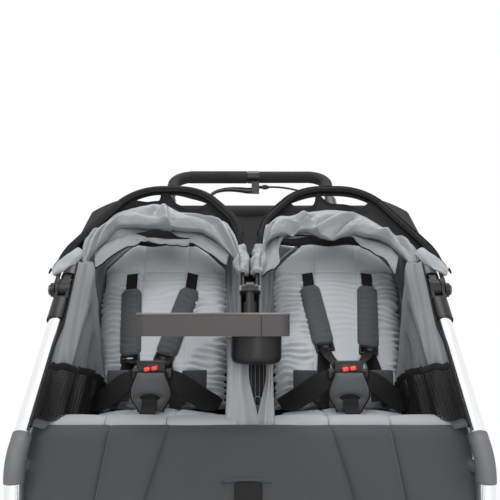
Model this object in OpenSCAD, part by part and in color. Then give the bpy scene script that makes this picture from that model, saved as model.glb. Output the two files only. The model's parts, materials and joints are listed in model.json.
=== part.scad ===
// Double jogging stroller: two seats side by side on one folding tube frame with three spoked wheels.
// Millimetres, +Z up, the front faces -Y, the origin is on the ground below the middle of the stroller.

/* [Frame] */
// Half distance between the middles of the main tubes
side_x = 360; // [340:1:380]
// Diameter of the main and upper tubes
tube_d = 28; // [24:1:30]
// Half distance between the middles of the rear legs
leg_x = 328; // [322:1:330]
// Diameter of the rear legs
leg_d = 25; // [20:1:27]
// Diameter of rails and cross bars
rail_d = 22; // [16:1:24]
// Fold hub, distance behind the origin
hub_y = 191; // [180:1:200]
// Fold hub, height
hub_z = 728; // [715:1:740]
// Front bend of the main tubes, distance in front of the origin
bend_y = -55; // [-65:1:-45]
// Height of the front bend of the main tubes
bend_z = 454; // [440:1:465]
// Radius of the main tube bends
bend_r = 70; // [50:1:80]
// Angle of the upper frame above the horizontal
upper_angle = 39.4; // [37:0.1:41]
// Distance from the fold hub to the upper crossbar
upper_l = 303; // [295:1:315]
// Diameter of the fold pins
pin_d = 10; // [8:0.5:12]

/* [Handlebar] */
// Distance from the fold hub to the grip
grip_l = 489; // [470:1:520]
// Half distance between the middles of the handlebar legs
handle_x = 195; // [180:1:215]
// Diameter of the handlebar
handle_d = 22; // [19:1:24]
// Outer diameter of the foam grip
grip_d = 30; // [27:1:34]
// Drop of the brake lever below the middle of the handlebar
lever_drop = 34; // [31:1:38]

/* [Wheels] */
// Outer diameter of the tyres
wheel_d = 400; // [380:1:410]
// Width of the tyres
tyre_w = 44; // [36:1:48]
// Width of the rims
rim_w = 26; // [22:1:30]
// Diameter of the axles
axle_d = 12; // [10:0.5:14]
// Spokes in each wheel
spoke_count = 20; // [12:2:28]
// Half distance between the rear wheels' middle planes
rear_wheel_x = 380; // [377:1:390]
// Front axle, distance in front of the origin
front_axle_y = -385; // [-390:1:-380]
// Rear axle, distance behind the origin
rear_axle_y = 347; // [340:1:355]

/* [Seats] */
// Middle of each seat from the centre line
seat_x = 182; // [178:1:182]
// Width of the seat cushions
cushion_w = 262; // [240:1:262]
// Length of the seat cushions
cushion_l = 217; // [200:1:220]
// Height of the seat cushions at the crown
cushion_h = 49; // [40:1:55]
// Width of the seat backs
back_w = 258; // [230:1:262]
// Length of the seat backs
back_l = 410; // [380:1:420]
// Thickness of the seat backs at the crown
back_t = 42; // [34:1:48]
// Angle of the seat backs above the horizontal
back_angle = 60; // [58:1:64]
// Diameter of the bar that the seat backs hinge on
recline_d = 16; // [12:1:18]
// Half width of the calf panel
calf_x = 338; // [300:1:339]
// Thickness of the calf panel at the crown
calf_t = 26; // [18:1:30]

/* [Canopies] */
// Distance from the fold hub to the top of the canopy bows
canopy_r = 298; // [290:1:305]
// Angle of the folded canopy bows above the horizontal
canopy_angle = 52; // [51:0.5:56]
// Diameter of the canopy bows
bow_d = 8; // [6:0.5:8]

/* [Tray] */
// Length of the tray
tray_l = 252; // [230:1:290]
// Width of the tray
tray_w = 100; // [96:1:110]
// Height of the tray band
tray_h = 38; // [30:1:40]
// Height of the tray's rim above the ground
tray_z = 683; // [680:1:690]
// Inner diameter of the cup holder
cup_d = 80; // [70:1:84]
// Height of the cup holder
cup_h = 86; // [75:1:95]
// Wall of the tray and the cup holder
tray_wall = 3; // [2:0.5:4]

/* [Fits] */
// Gap between pieces that seat on each other
fit = 0.3; // [0.2:0.05:0.5]
// Radial clearance of turning pins and axles
run = 0.05; // [0.03:0.01:0.1]

/* [Hidden] */
$fn = 48;

silver = "#d8dadc";
steel = "#a9adb0";
black = "#1b1c1d";
rubber = "#242525";
light_grey = "#9fa2a3";
dark_grey = "#545658";
red = "#e2463e";

axle_z = wheel_d / 2;
tube_r = tube_d / 2;
leg_r = leg_d / 2;
rail_r = rail_d / 2;
pin_r = pin_d / 2;
axle_r = axle_d / 2;
hub = [0, hub_y, hub_z];
front_axle = [0, front_axle_y, axle_z];
rear_axle = [0, rear_axle_y, axle_z];

// Hub stack, from the leg outwards along X
cheek_t = 6;
cheek_in = side_x - tube_r;
cheek_out = side_x + tube_r;
cheek_r = 22;
socket_r = tube_r + 4;
// Step from the face of a round boss to the web that carries it
web_in = 0.8;
socket_from = 34;
socket_to = 82;
tube_from = 38;
bow_x = side_x + socket_r + 1.4 + bow_d / 2;
bow_inner_x = 12;
bow_disc_r = 14;
post_eye_r = 16;
post_eye_w = 2 * (bow_inner_x - bow_d / 2 - 0.4);

function unit(v) = v / norm(v);
function mix(a, b, t) = a + (b - a) * t;
function flip(p) = [-p[0], p[1], p[2]];
// Point at a distance from the fold hub, at an angle above the horizontal, leaning back
function from_hub(x, r, angle) = [x, hub_y + r * cos(angle), hub_z + r * sin(angle)];

// Main tube: hub, front bend, foot bend, fork bend, fork end
fork_x = 66;
fork_r = 17;
foot_z = axle_z + 32;
fork_bend = [fork_x, front_axle_y + 83, axle_z + 8];
main_points = [[side_x, hub_y, hub_z], [side_x, bend_y, bend_z], [side_x, bend_y, foot_z], fork_bend,
    [fork_x, front_axle_y, axle_z]];
main_dir = unit(main_points[1] - main_points[0]);
main_angle = atan2(main_dir[2], main_dir[1]);

// Rear leg: hub to rear knuckle
leg_top = [leg_x, hub_y, hub_z];
leg_foot = [leg_x, rear_axle_y, axle_z];
function leg_at(z) = mix(leg_top, leg_foot, (hub_z - z) / (hub_z - axle_z));
knuckle_r = 18;
knuckle_w = 32;
beam_r = 14;
hub_half = 24;
nut_w = 7;
nut_r = 10;

// Seat level
rail_z = 440;
rail_front = [side_x, bend_y, rail_z];
rail_back = leg_at(rail_z);
function rail_x(y) = mix(rail_front, rail_back, (y - rail_front[1]) / (rail_back[1] - rail_front[1]))[0];
seat_front_y = 17;
cushion_z = rail_z + rail_r + fit;
seat_top_z = cushion_z + cushion_h;
recline_y = 262;
recline_z = 460;
recline_r = recline_d / 2;
sleeve_r = recline_r + 4;
board_t = 4;
front_bar_y = 45;
rear_bar_y = 200;

// Lower frame and front brake
lower_front = [side_x, bend_y, 310];
lower_back = leg_at(225);
brake_bar_y = front_axle_y + wheel_d / 2 + 25;
brake_bar_z = axle_z + 22;
brake_bar_r = 9;
bolt_r = 4;
arm_t = 8;
pad_gap = 3;
arm_reach = 34;
rim_r = wheel_d / 2 - tyre_w + 7;
pad_y = front_axle_y + rim_r - 15;

// Parking brake
park_arm = 40;
park_throw = 20;
park_ring_r = 48;
park_bar_r = 7;
park_y = rear_axle_y + park_ring_r - 1;
park_z = axle_z + park_arm;
dog_r = 3.5;
park_ring_x = rear_wheel_x - hub_half + 1;
park_bracket_x = 150;

// Centre post
post_r = 12;
post_foot = [0, front_bar_y + 12, rail_z + 6];
post_dir = unit(hub - post_foot);
function post_at(z) = mix(post_foot, hub, (z - post_foot[2]) / (hub_z - post_foot[2]));
sleeve_rib = 3;

// Tray
tray_x = -60.5;
tray_y = 52;
cup_x = 11;
cup_r = cup_d / 2;
peg_r = 8;
peg_y = 112;
boss_r = 13;

// Handlebar and lever
upper_end = from_hub(side_x, upper_l, upper_angle);
grip = from_hub(0, grip_l, upper_angle);
handle_r = handle_d / 2;
grip_r = grip_d / 2;
handle_bend = 45;
perch_x = [-6, 24];
lever_x = 14;
lever_z = grip[2] - lever_drop;
barrel_r = 4;

// Points between two profiles, sewn into one closed body; across x along points from the bottom to the top sheet
module slab(top, bottom) {
    nu = len(top) - 1;
    nv = len(top[0]) - 1;
    half = (nu + 1) * (nv + 1);
    function a(i, j) = i * (nv + 1) + j;
    function b(i, j) = half + a(i, j);
    polyhedron(
        points = concat([for (row = top) each row], [for (row = bottom) each row]),
        faces = concat(
            [for (i = [0 : nu - 1], j = [0 : nv - 1]) each [
                [a(i, j), a(i, j + 1), a(i + 1, j + 1)], [a(i, j), a(i + 1, j + 1), a(i + 1, j)],
                [b(i, j), b(i + 1, j + 1), b(i, j + 1)], [b(i, j), b(i + 1, j), b(i + 1, j + 1)]]],
            [for (i = [0 : nu - 1]) each [
                [b(i, 0), a(i, 0), a(i + 1, 0)], [b(i, 0), a(i + 1, 0), b(i + 1, 0)],
                [b(i, nv), a(i + 1, nv), a(i, nv)], [b(i, nv), b(i + 1, nv), a(i + 1, nv)]]],
            [for (j = [0 : nv - 1]) each [
                [b(0, j + 1), a(0, j + 1), a(0, j)], [b(0, j + 1), a(0, j), b(0, j)],
                [b(nu, j + 1), a(nu, j), a(nu, j + 1)], [b(nu, j + 1), b(nu, j), a(nu, j)]]]));
}

// Swept tube of few sides along a list of points
module cable(points, r, sides = 8) {
    n = len(points) - 1;
    function way(i) = unit(points[min(i + 1, n)] - points[max(i - 1, 0)]);
    function side(i) = unit(cross(way(i), [0.31, 0.17, 0.94]));
    rings = [for (i = [0 : n]) [for (k = [0 : sides - 1])
        points[i] + r * (cos(360 * k / sides) * side(i) + sin(360 * k / sides) * cross(way(i), side(i)))]];
    function at(i, k) = i * sides + k % sides;
    polyhedron(
        points = [for (ring = rings) each ring],
        faces = concat(
            [for (k = [1 : sides - 2]) [at(0, 0), at(0, k), at(0, k + 1)]],
            [for (k = [1 : sides - 2]) [at(n, 0), at(n, k + 1), at(n, k)]],
            [for (i = [0 : n - 1], k = [0 : sides - 1]) each [
                [at(i, k), at(i + 1, k), at(i, k + 1)], [at(i, k + 1), at(i + 1, k), at(i + 1, k + 1)]]]));
}

// Round rod from one point to another
module rod(a, b, r) {
    d = b - a;
    translate(a) rotate([0, acos(d[2] / norm(d)), atan2(d[1], d[0])]) cylinder(h = norm(d), r = r);
}

// Cylinder along X between two distances from the centre line
module x_disc(from, to, r, at = [0, 0, 0]) {
    translate([from, at[1], at[2]]) rotate([0, 90, 0]) cylinder(h = to - from, r = r);
}

// Tube through points with round bends, one radius for each inner point; the straight runs are a hair
// slimmer than the bends and end inside them, so that the two fuse
module bent_tube(points, r, bends) {
    n = len(points) - 1;
    slim = 0.05;
    lap = 1;
    function way(i) = unit(points[i + 1] - points[i]);
    function turn(i) = acos(way(i - 1) * way(i));
    function cut(i) = bends[i - 1] * tan(turn(i) / 2);
    function stop(i) = i == 0 || i == n ? 0 : cut(i) - lap;
    for (i = [0 : n - 1])
        rod(points[i] + stop(i) * way(i), points[i + 1] - stop(i + 1) * way(i), r - slim);
    for (i = [1 : n - 1]) {
        inward = unit(way(i) - (way(i) * way(i - 1)) * way(i - 1));
        centre = points[i] - cut(i) * way(i - 1) + bends[i - 1] * inward;
        x = -inward;
        y = way(i - 1);
        z = cross(x, y);
        multmatrix([for (k = [0 : 2]) [x[k], y[k], z[k], centre[k]]])
            rotate_extrude(angle = turn(i)) translate([bends[i - 1], 0]) circle(r);
    }
}

module both_sides() {
    children();
    mirror([1, 0, 0]) children();
}

// Frame that stands on the wheels
module main_tube_shape(r) {
    points = concat([main_points[0] + tube_from * main_dir], [for (i = [1 : 4]) main_points[i]]);
    bent_tube(points, r, [bend_r, bend_r * 0.9, 50]);
}

module main_tube() {
    difference() {
        main_tube_shape(tube_r);
        x_disc(0, side_x, fork_r + fit, front_axle);
    }
}

module main_tube_left() { color(silver) mirror([1, 0, 0]) main_tube(); }
module main_tube_right() { color(silver) main_tube(); }

module fork_ends() {
    half = tube_r + 3;
    color(black) both_sides() difference() {
        x_disc(fork_x - half, fork_x + half, fork_r, front_axle);
        x_disc(0, side_x, axle_r + run, front_axle);
    }
}

module wheel_axles() {
    collar = axle_r + 3;
    fork_in = fork_x - tube_r - 3;
    fork_out = fork_x + tube_r + 3;
    color(steel) {
        x_disc(-fork_out - nut_w - 2, fork_out + nut_w + 2, axle_r, front_axle);
        both_sides() {
            x_disc(hub_half + fit, fork_in - fit, collar, front_axle);
            x_disc(leg_x - 68, rear_wheel_x + hub_half + nut_w + 1, axle_r, rear_axle);
            x_disc(leg_x + knuckle_w / 2 + fit, rear_wheel_x - hub_half - fit, collar, rear_axle);
        }
    }
}

module axle_nuts() {
    fork_out = fork_x + tube_r + 3;
    module nut(x, at) {
        translate([x, at[1], at[2]]) rotate([0, 90, 0]) difference() {
            cylinder(h = nut_w, r = nut_r, $fn = 6);
            translate([0, 0, -1]) cylinder(h = nut_w + 2, r = axle_r + run);
        }
    }
    color(steel) both_sides() {
        nut(fork_out + fit, front_axle);
        nut(rear_wheel_x + hub_half + fit, rear_axle);
    }
}

module rear_leg() {
    difference() {
        union() {
            rod(leg_top, leg_foot, leg_r);
            x_disc(leg_x - leg_r, leg_x + leg_r, cheek_r - 2, hub);
            x_disc(leg_x - knuckle_w / 2, leg_x + knuckle_w / 2, knuckle_r, rear_axle);
        }
        x_disc(0, side_x, pin_r + run, hub);
        x_disc(0, side_x, axle_r + run, rear_axle);
    }
}

module rear_leg_left() { color(silver) mirror([1, 0, 0]) rear_leg(); }
module rear_leg_right() { color(silver) rear_leg(); }

module rear_beam() {
    half = leg_x - knuckle_w / 2 - fit;
    eye_r = park_bar_r + 5;
    eye_w = 14;
    link = [0, park_y, park_z] - rear_axle;
    color(silver) difference() {
        union() {
            x_disc(-half, half, beam_r, rear_axle);
            both_sides() {
                x_disc(park_bracket_x, park_bracket_x + eye_w, eye_r, [0, park_y, park_z]);
                translate(rear_axle) rotate([atan2(link[2], link[1]), 0, 0])
                    translate([park_bracket_x + web_in, 0, -beam_r / 2])
                        cube([eye_w - 2 * web_in, norm(link), beam_r]);
            }
        }
        x_disc(-half, half, park_bar_r + run, [0, park_y, park_z]);
        both_sides() x_disc(leg_x - 70, half + 1, axle_r + run, rear_axle);
    }
}

module seat_frame() {
    color(silver) {
        difference() {
            union() {
                both_sides() rod(rail_front, rail_back, rail_r);
                for (y = [front_bar_y, rear_bar_y])
                    x_disc(-rail_x(y), rail_x(y), rail_r, [0, y, rail_z]);
            }
            both_sides() {
                main_tube_shape(tube_r + fit);
                rod(leg_top, leg_foot, leg_r + fit);
            }
        }
        difference() {
            x_disc(-leg_x, leg_x, recline_r, [0, recline_y, recline_z]);
            both_sides() rod(leg_top, leg_foot, leg_r + fit);
        }
    }
}

module lower_frame() {
    bar_x = mix(main_points[2], main_points[3],
        (brake_bar_y - bend_y) / (main_points[3][1] - bend_y))[0];
    color(silver) difference() {
        union() {
            both_sides() rod(lower_front, lower_back, rail_r);
            x_disc(-bar_x, bar_x, brake_bar_r, [0, brake_bar_y, brake_bar_z]);
        }
        both_sides() {
            main_tube_shape(tube_r + fit);
            rod(leg_top, leg_foot, leg_r + fit);
        }
        translate([0, brake_bar_y, 0]) cylinder(h = hub_z, r = bolt_r + run);
    }
}

// Clevis on the end of a main tube, open to the tongue of the upper frame
module lower_hubs() {
    color(black) both_sides() difference() {
        union() {
            x_disc(cheek_in, cheek_out, cheek_r, hub);
            rod(main_points[0] + socket_from * main_dir, main_points[0] + socket_to * main_dir, socket_r);
            translate(main_points[0]) rotate([main_angle, 0, 0])
                translate([web_in - tube_r, 0, -tube_r - 1])
                    cube([tube_d - 2 * web_in, socket_from + 1, tube_d + 2]);
        }
        x_disc(cheek_in + cheek_t, cheek_out - cheek_t, socket_from - 1, hub);
        rod(main_points[0] + tube_from * main_dir, main_points[1], tube_r + run);
        x_disc(0, bow_x, pin_r + run, hub);
    }
}

module fold_pins() {
    outer = bow_x + bow_d / 2 + fit;
    inner = leg_x - leg_r - fit;
    post_side = post_eye_w / 2 + bow_d + 0.8;
    color(steel) {
        both_sides() {
            x_disc(inner - 3, outer + 4, pin_r, hub);
            x_disc(inner - 5, inner, pin_r + 4, hub);
            x_disc(outer, outer + 4, pin_r + 5, hub);
            x_disc(leg_x + leg_r + fit, cheek_in - fit, pin_r + 4, hub);
            x_disc(cheek_out + fit, bow_x - bow_d / 2 - 0.8, pin_r + 3, hub);
        }
        x_disc(-post_side - 3, post_side + 3, pin_r, hub);
        both_sides() x_disc(post_side + fit, post_side + 4, pin_r + 4, hub);
    }
}

module centre_post() {
    color(black) difference() {
        union() {
            rod(post_foot, hub, post_r);
            x_disc(-post_eye_w / 2, post_eye_w / 2, post_eye_r, hub);
        }
        x_disc(-bow_x, bow_x, pin_r + run, hub);
        x_disc(-side_x, side_x, rail_r + fit, [0, front_bar_y, rail_z]);
        for (side = [-1, 1])
            translate([side * (post_eye_w / 2 + post_r), hub_y, hub_z])
                rotate([0, 90, 0]) cylinder(h = 2 * post_r, r = post_eye_r + bow_disc_r, center = true);
    }
}

// Ribbed bellows on the lower half of the centre post
module post_sleeve() {
    from = 24;
    length = 112;
    ribs = 14;
    color(black) translate(post_foot + from * post_dir)
        rotate([0, acos(post_dir[2]), 90]) difference() {
            union() {
                cylinder(h = length, r = post_r + 3);
                for (i = [0 : ribs - 1]) translate([0, 0, (i + 0.25) * length / ribs])
                    cylinder(h = length / ribs / 2, r = post_r + 3 + sleeve_rib);
            }
            translate([0, 0, -1]) cylinder(h = length + 2, r = post_r + run);
        }
}

module tray_bracket() {
    clamp_z = 612;
    clamp_h = 26;
    arm_z = tray_z - tray_h - 22;
    shoulder_z = tray_z - tray_h - fit;
    color(black) difference() {
        union() {
            rod(post_at(clamp_z), post_at(clamp_z + clamp_h), post_r + 5);
            translate([-post_r, peg_y - post_r, arm_z])
                cube([2 * post_r, post_at(arm_z)[1] - peg_y + post_r, 12]);
            translate([0, peg_y, arm_z]) cylinder(h = shoulder_z - arm_z, r = post_r);
            translate([0, peg_y, arm_z]) cylinder(h = tray_h + 14, r = peg_r);
        }
        rod(post_foot, hub, post_r + run);
    }
}

// Soft pieces of the seats
function crown(t) = pow(max(sin(180 * t), 0), 0.5);

// Height of the cushion's top, with the shares across and along
cushion_edge = 24;
function cushion_top(u, v) = cushion_z + cushion_edge + (cushion_h - cushion_edge) * crown(u) * crown(v);
function cushion_at(u, v, z) = [
    seat_x + (u - 0.5) * (cushion_w - 9 * sin(180 * v)),
    seat_front_y + cushion_l / 2 + (v - 0.5) * (cushion_l - 7 * sin(180 * u)), z];

module seat_cushion() {
    nu = 14;
    nv = 10;
    slab([for (i = [0 : nu]) [for (j = [0 : nv]) cushion_at(i / nu, j / nv, cushion_top(i / nu, j / nv))]],
        [for (i = [0 : nu]) [for (j = [0 : nv]) cushion_at(i / nu, j / nv, cushion_z)]]);
}

module seat_cushion_left() { color(light_grey) mirror([1, 0, 0]) seat_cushion(); }
module seat_cushion_right() { color(light_grey) seat_cushion(); }

// Quilted panel from the front of the seats down to the feet, with sewn channels between its seams
module calf_panel() {
    calf_seam = 50;
    seam_in = seat_x - calf_seam;
    seam_out = seat_x + calf_seam;
    seams = [-calf_x, -seam_out, -seam_in, seam_in, seam_out, calf_x];
    cells = 5;
    rows = 7;
    lean = 0.508;
    edge_z = cushion_z + cushion_edge;
    seat_edge = [0, seat_front_y - fit, edge_z];
    top = seat_edge + 12.5 * [0, lean, 1];
    bottom = seat_edge - (edge_z - foot_z - 18.6) * [0, lean, 1];
    normal = cross([1, 0, 0], unit(top - bottom));
    sewn = 11;
    stops = concat([for (i = [0 : 4], k = [0 : cells - 1]) [mix(seams[i], seams[i + 1], k / cells), k / cells]],
        [[calf_x, 0]]);
    function swell(share, v) = sewn + (calf_t - sewn) * pow(sin(180 * share), 0.4) * pow(sin(20 + 140 * v), 0.5);
    color(dark_grey) slab(
        [for (s = stops) [for (j = [0 : rows])
            [s[0], 0, 0] + mix(bottom, top, j / rows) + swell(s[1], j / rows) * normal]],
        [for (s = stops) [for (j = [0 : rows]) [s[0], 0, 0] + mix(bottom, top, j / rows)]]);
}

module footrest_panel() {
    cells = 8;
    cloth_t = 3;
    front_half = 190;
    back_half = 250;
    front = [front_half, brake_bar_y + brake_bar_r + fit, brake_bar_z - cloth_t / 2];
    back = [back_half, bend_y - 35, foot_z + 6];
    function place(i, j) = let (p = mix(front, back, j / 2))
        [mix(-p[0], p[0], i / cells), p[1], p[2]];
    color(black) slab(
        [for (i = [0 : cells]) [for (j = [0 : 2]) place(i, j) + [0, 0, cloth_t]]],
        [for (i = [0 : cells]) [for (j = [0 : 2]) place(i, j)]]);
}

// Side walls of the seats, hung from the main tubes; u runs from front to back and v from the seat up
wall_t = 2.4;
wall_fold = 2.5;
wall_low_z = 462;
wall_low_x = leg_x - 10;
wall_top_x = side_x - tube_r - fit - wall_t / 2 - wall_fold;
wall_low = [[0, 30, wall_low_z], [0, 244, wall_low_z]];
wall_front_z = bend_z + 91;
wall_back_z = hub_z - 73;
function main_y(z) = mix(hub_y, bend_y, (hub_z - z) / (hub_z - bend_z));
function wall_top(z) = [0, main_y(z), z];
function wall_at(u, v, out) = let (
    p = mix(mix(wall_low[0], wall_low[1], u), mix(wall_top(wall_front_z), wall_top(wall_back_z), u), v))
    [mix(wall_low_x, wall_top_x, v) + wall_fold * sin(1080 * u) + out, p[1], p[2]];

module side_panels() {
    nu = 14;
    nv = 5;
    color(light_grey) both_sides() slab(
        [for (i = [0 : nu]) [for (j = [0 : nv]) wall_at(i / nu, j / nv, wall_t / 2)]],
        [for (i = [0 : nu]) [for (j = [0 : nv]) wall_at(i / nu, j / nv, -wall_t / 2)]]);
}

// Mesh pockets, sewn to the side walls at their ends and bottom, with a slanted hem
module mesh_pockets() {
    nu = 8;
    nv = 4;
    mesh_t = 2;
    belly = 16;
    off = wall_t / 2 + mesh_t + 0.5;
    function place(i, j, out) = let (u = mix(0.04, 0.8, i / nu), v = mix(0.16, mix(0.85, 0.42, i / nu), j / nv))
        wall_at(u, v, out - off - belly * pow(sin(180 * i / nu), 0.7) * sin(100 * j / nv));
    color(black) both_sides() slab(
        [for (i = [0 : nu]) [for (j = [0 : nv]) place(i, j, mesh_t / 2)]],
        [for (i = [0 : nu]) [for (j = [0 : nv]) place(i, j, -mesh_t / 2)]]);
}

// Two cloth walls between the seats, one on each side of the centre post
module centre_divider() {
    nu = 6;
    nv = 6;
    low_z = cushion_z + fit;
    top_z = 690;
    cloth_x = 20;
    cloth_t = 3;
    belly = 6;
    lead = 20;
    low_back = [0, 232, low_z];
    top_back = [0, 212, top_z];
    function front(z) = [0, post_at(z)[1] - lead, z];
    function place(i, j, out) = let (p = mix(mix(front(low_z), low_back, i / nu),
        mix(front(top_z), top_back, i / nu), j / nv))
        [cloth_x + belly * sin(180 * i / nu) * sin(180 * j / nv) + out, p[1], p[2]];
    color(light_grey) both_sides() slab(
        [for (i = [0 : nu]) [for (j = [0 : nv]) place(i, j, cloth_t)]],
        [for (i = [0 : nu]) [for (j = [0 : nv]) place(i, j, 0)]]);
}

// Open basket hung between the lower rails
module cargo_basket() {
    wall = 3;
    front_y = -20;
    back_y = 296;
    inset = 34;
    floor_z = 150;
    function rail(y) = mix(lower_front, lower_back, (y - lower_front[1]) / (lower_back[1] - lower_front[1]));
    module corner(x, y, z) { both_sides() translate([x, y, z]) sphere(r = wall, $fn = 12); }
    module tub(shrink, lift) {
        hull() {
            for (y = [front_y + shrink, back_y - shrink])
                corner(rail(y)[0] - rail_r - wall - fit - shrink, y, rail(y)[2] + lift);
            for (y = [front_y + inset / 2 + shrink, back_y - inset / 2 - shrink])
                corner(rail(y)[0] - inset - shrink, y, floor_z + shrink);
        }
    }
    color(black) difference() {
        tub(0, 0);
        tub(wall, 12);
    }
}

// Harness pieces on the seat
buckle_y = seat_front_y + cushion_l / 2;
pad_w = 70;
pad_h = 72;
pad_t = 14;
buckle_z = seat_top_z + fit + pad_h;
buckle_w = 50;
buckle_t = 16;
button_w = 26;
button_h = 11;
button_travel = 3;

module crotch_pads() {
    nu = 8;
    nv = 6;
    function place(i, j, out) = let (u = i / nu, v = j / nv)
        [seat_x + (u - 0.5) * (pad_w - 14 * pow(abs(2 * v - 1), 3)), buckle_y - out, seat_top_z + fit + v * pad_h];
    color(dark_grey) both_sides() slab(
        [for (i = [0 : nu]) [for (j = [0 : nv]) place(i, j, 5 + (pad_t - 5) * crown(i / nu) * crown(j / nv))]],
        [for (i = [0 : nu]) [for (j = [0 : nv]) place(i, j, 0)]]);
}

module button_block(grow) {
    translate([seat_x - button_w / 2 - grow, buckle_y - 4, buckle_z + 5 - grow])
        cube([button_w + 2 * grow, 9 + grow, button_h + 2 * grow]);
}

module harness_buckles() {
    low = 24;
    color(black) both_sides() difference() {
        translate([seat_x - buckle_w / 2, buckle_y + fit, buckle_z - low])
            cube([buckle_w, buckle_t, low + button_h + 10]);
        translate([0, button_travel, 0]) button_block(fit);
        button_block(fit);
    }
}

module buckle_button() { button_block(0); }
module buckle_button_left() { color(red) mirror([1, 0, 0]) buckle_button(); }
module buckle_button_right() { color(red) buckle_button(); }

// Waist webbing, lying on the cushion from the buckle to the back corners
module hip_straps() {
    nu = 8;
    nv = 2;
    web_t = 3;
    web_w = 0.16;
    lift = 1;
    function place(i, j, out, side) = let (
        u = 0.5 + side * mix(0.11, 0.44, i / nu), v = mix(0.6, 0.84, i / nu) + (j / nv - 0.5) * web_w)
        cushion_at(u, v, cushion_top(u, v) + lift + out);
    color(black) both_sides() {
        slab([for (i = [0 : nu]) [for (j = [0 : nv]) place(i, j, web_t, 1)]],
            [for (i = [0 : nu]) [for (j = [0 : nv]) place(i, j, 0, 1)]]);
        slab([for (i = [0 : nu]) [for (j = [0 : nv]) place(nu - i, j, web_t, -1)]],
            [for (i = [0 : nu]) [for (j = [0 : nv]) place(nu - i, j, 0, -1)]]);
    }
}

// Front brake
arm_low_z = brake_bar_z + brake_bar_r + 0.6;
pad_h_brake = 26;

module caliper_bolt() {
    top = arm_low_z + 2 * (arm_t + fit);
    low = brake_bar_z - brake_bar_r - fit;
    color(steel) {
        translate([0, brake_bar_y, low - 8]) cylinder(h = top - low + 12, r = bolt_r);
        translate([0, brake_bar_y, low - 6]) cylinder(h = 6, r = 2 * bolt_r, $fn = 6);
        translate([0, brake_bar_y, top]) cylinder(h = 4, r = 2 * bolt_r);
    }
}

module brake_arm(level) {
    width = 12;
    bend = brake_bar_y - 20;
    z = arm_low_z + level * (arm_t + fit);
    pad_in = rim_w / 2 + pad_gap;
    difference() {
        union() {
            translate([0, 0, z]) linear_extrude(arm_t) {
                translate([0, brake_bar_y]) circle(bolt_r + 5);
                translate([arm_reach, bend]) circle(width / 2);
                polygon([[0, brake_bar_y + width / 2], [arm_reach, bend + width / 2 + 1],
                    [arm_reach, bend - width / 2], [0, brake_bar_y - width / 2]]);
                translate([arm_reach - width / 2, pad_y - 6]) square([width, bend - pad_y + 6]);
            }
            translate([pad_in, pad_y - 5, arm_low_z + arm_t - pad_h_brake / 2])
                cube([arm_reach - width / 2 - pad_in + 2, 10, pad_h_brake]);
        }
        translate([0, brake_bar_y, 0]) cylinder(h = hub_z, r = bolt_r + run);
    }
}

module brake_arm_left() { color(steel) mirror([1, 0, 0]) brake_arm(0); }
module brake_arm_right() { color(steel) brake_arm(1); }

// Brake cable below the fold, from the right hub down the main tube to the caliper
cable_r = 2.5;
caliper = [0, brake_bar_y, brake_bar_z];
foot_run = [for (p = [[13, 15, 63], [10, 15, 36], [-2, 13, 14], [-22, 5, 4]]) [side_x, bend_y, foot_z] + p];
bar_run = [for (p = [[222, 16, 21], [190, 10, 26], [160, 10, 32], [130, 12, 37], [100, 14, 39], [72, 12, 37],
    [50, 6, 33], [34, -4, 29.6], [28, -10, 29.2]]) caliper + p];
lower_route = concat([for (z = [653, 620, 580, 536, 491]) [side_x + tube_r, main_y(z) + 16.5, z]],
    [for (p = [[25, 5], [13, -24], [10, -54], [10, -94], [12, -129]]) [side_x + tube_r, bend_y + p[0], bend_z + p[1]]],
    foot_run, [for (t = [0.25, 0.5, 0.75]) mix(foot_run[3], bar_run[0], t)], bar_run);

module brake_cable_lower() { color(black) cable(lower_route, cable_r); }

// Parking brake bar with its pedal and two dogs, drawn released
module parking_brake() {
    arm_in = leg_x + knuckle_w / 2 + 2;
    arm_t = 6;
    pedal_l = 52;
    color(black) translate([0, park_y, park_z]) rotate([park_throw, 0, 0]) {
        x_disc(-arm_in - arm_t, arm_in + arm_t, park_bar_r);
        both_sides() {
            x_disc(arm_in, arm_in + arm_t, park_bar_r + 2);
            x_disc(arm_in, park_ring_x + 5, dog_r, [0, 0, -park_arm]);
            translate([arm_in, -dog_r - 1, -park_arm]) cube([arm_t, 2 * dog_r + 2, park_arm]);
        }
        translate([-60, 0, -3]) cube([120, pedal_l, 6]);
        for (k = [0 : 4]) translate([-60, 20 + 7 * k, 3]) cube([120, 3, 1.5]);
    }
}

// Upper frame, which folds forward
module upper_tube() {
    start = from_hub(side_x, tube_from, upper_angle);
    color(silver) bent_tube([start, upper_end, flip(upper_end), flip(start)], tube_r, [60, 60]);
}

module upper_hubs() {
    tongue = cheek_in + cheek_t + fit;
    tongue_w = tube_d - 2 * (cheek_t + fit);
    color(black) both_sides() difference() {
        union() {
            x_disc(tongue, tongue + tongue_w, cheek_r - 2, hub);
            rod(from_hub(side_x, socket_from, upper_angle), from_hub(side_x, socket_to, upper_angle), socket_r);
            translate([tongue + web_in, hub_y, hub_z]) rotate([upper_angle, 0, 0])
                translate([0, 0, -tube_r]) cube([tongue_w - 2 * web_in, socket_from + 2, tube_d]);
        }
        rod(from_hub(side_x, tube_from, upper_angle), upper_end, tube_r + run);
        x_disc(0, bow_x, pin_r + run, hub);
    }
}

clamp_half = 20;
module crossbar_sleeves() {
    spans = [[-292, -handle_x - clamp_half - 2], [-handle_x + clamp_half + 2, handle_x - clamp_half - 2],
        [handle_x + clamp_half + 2, 292]];
    color(black) for (s = spans) difference() {
        x_disc(s[0], s[1], tube_r + 3, upper_end);
        x_disc(s[0] - 1, s[1] + 1, tube_r + run, upper_end);
    }
}

module handle_shape(r, from) {
    bent_tube([from_hub(handle_x, from, upper_angle), from_hub(handle_x, grip_l, upper_angle),
        from_hub(-handle_x, grip_l, upper_angle), from_hub(-handle_x, from, upper_angle)], r,
        [handle_bend, handle_bend]);
}

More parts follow.
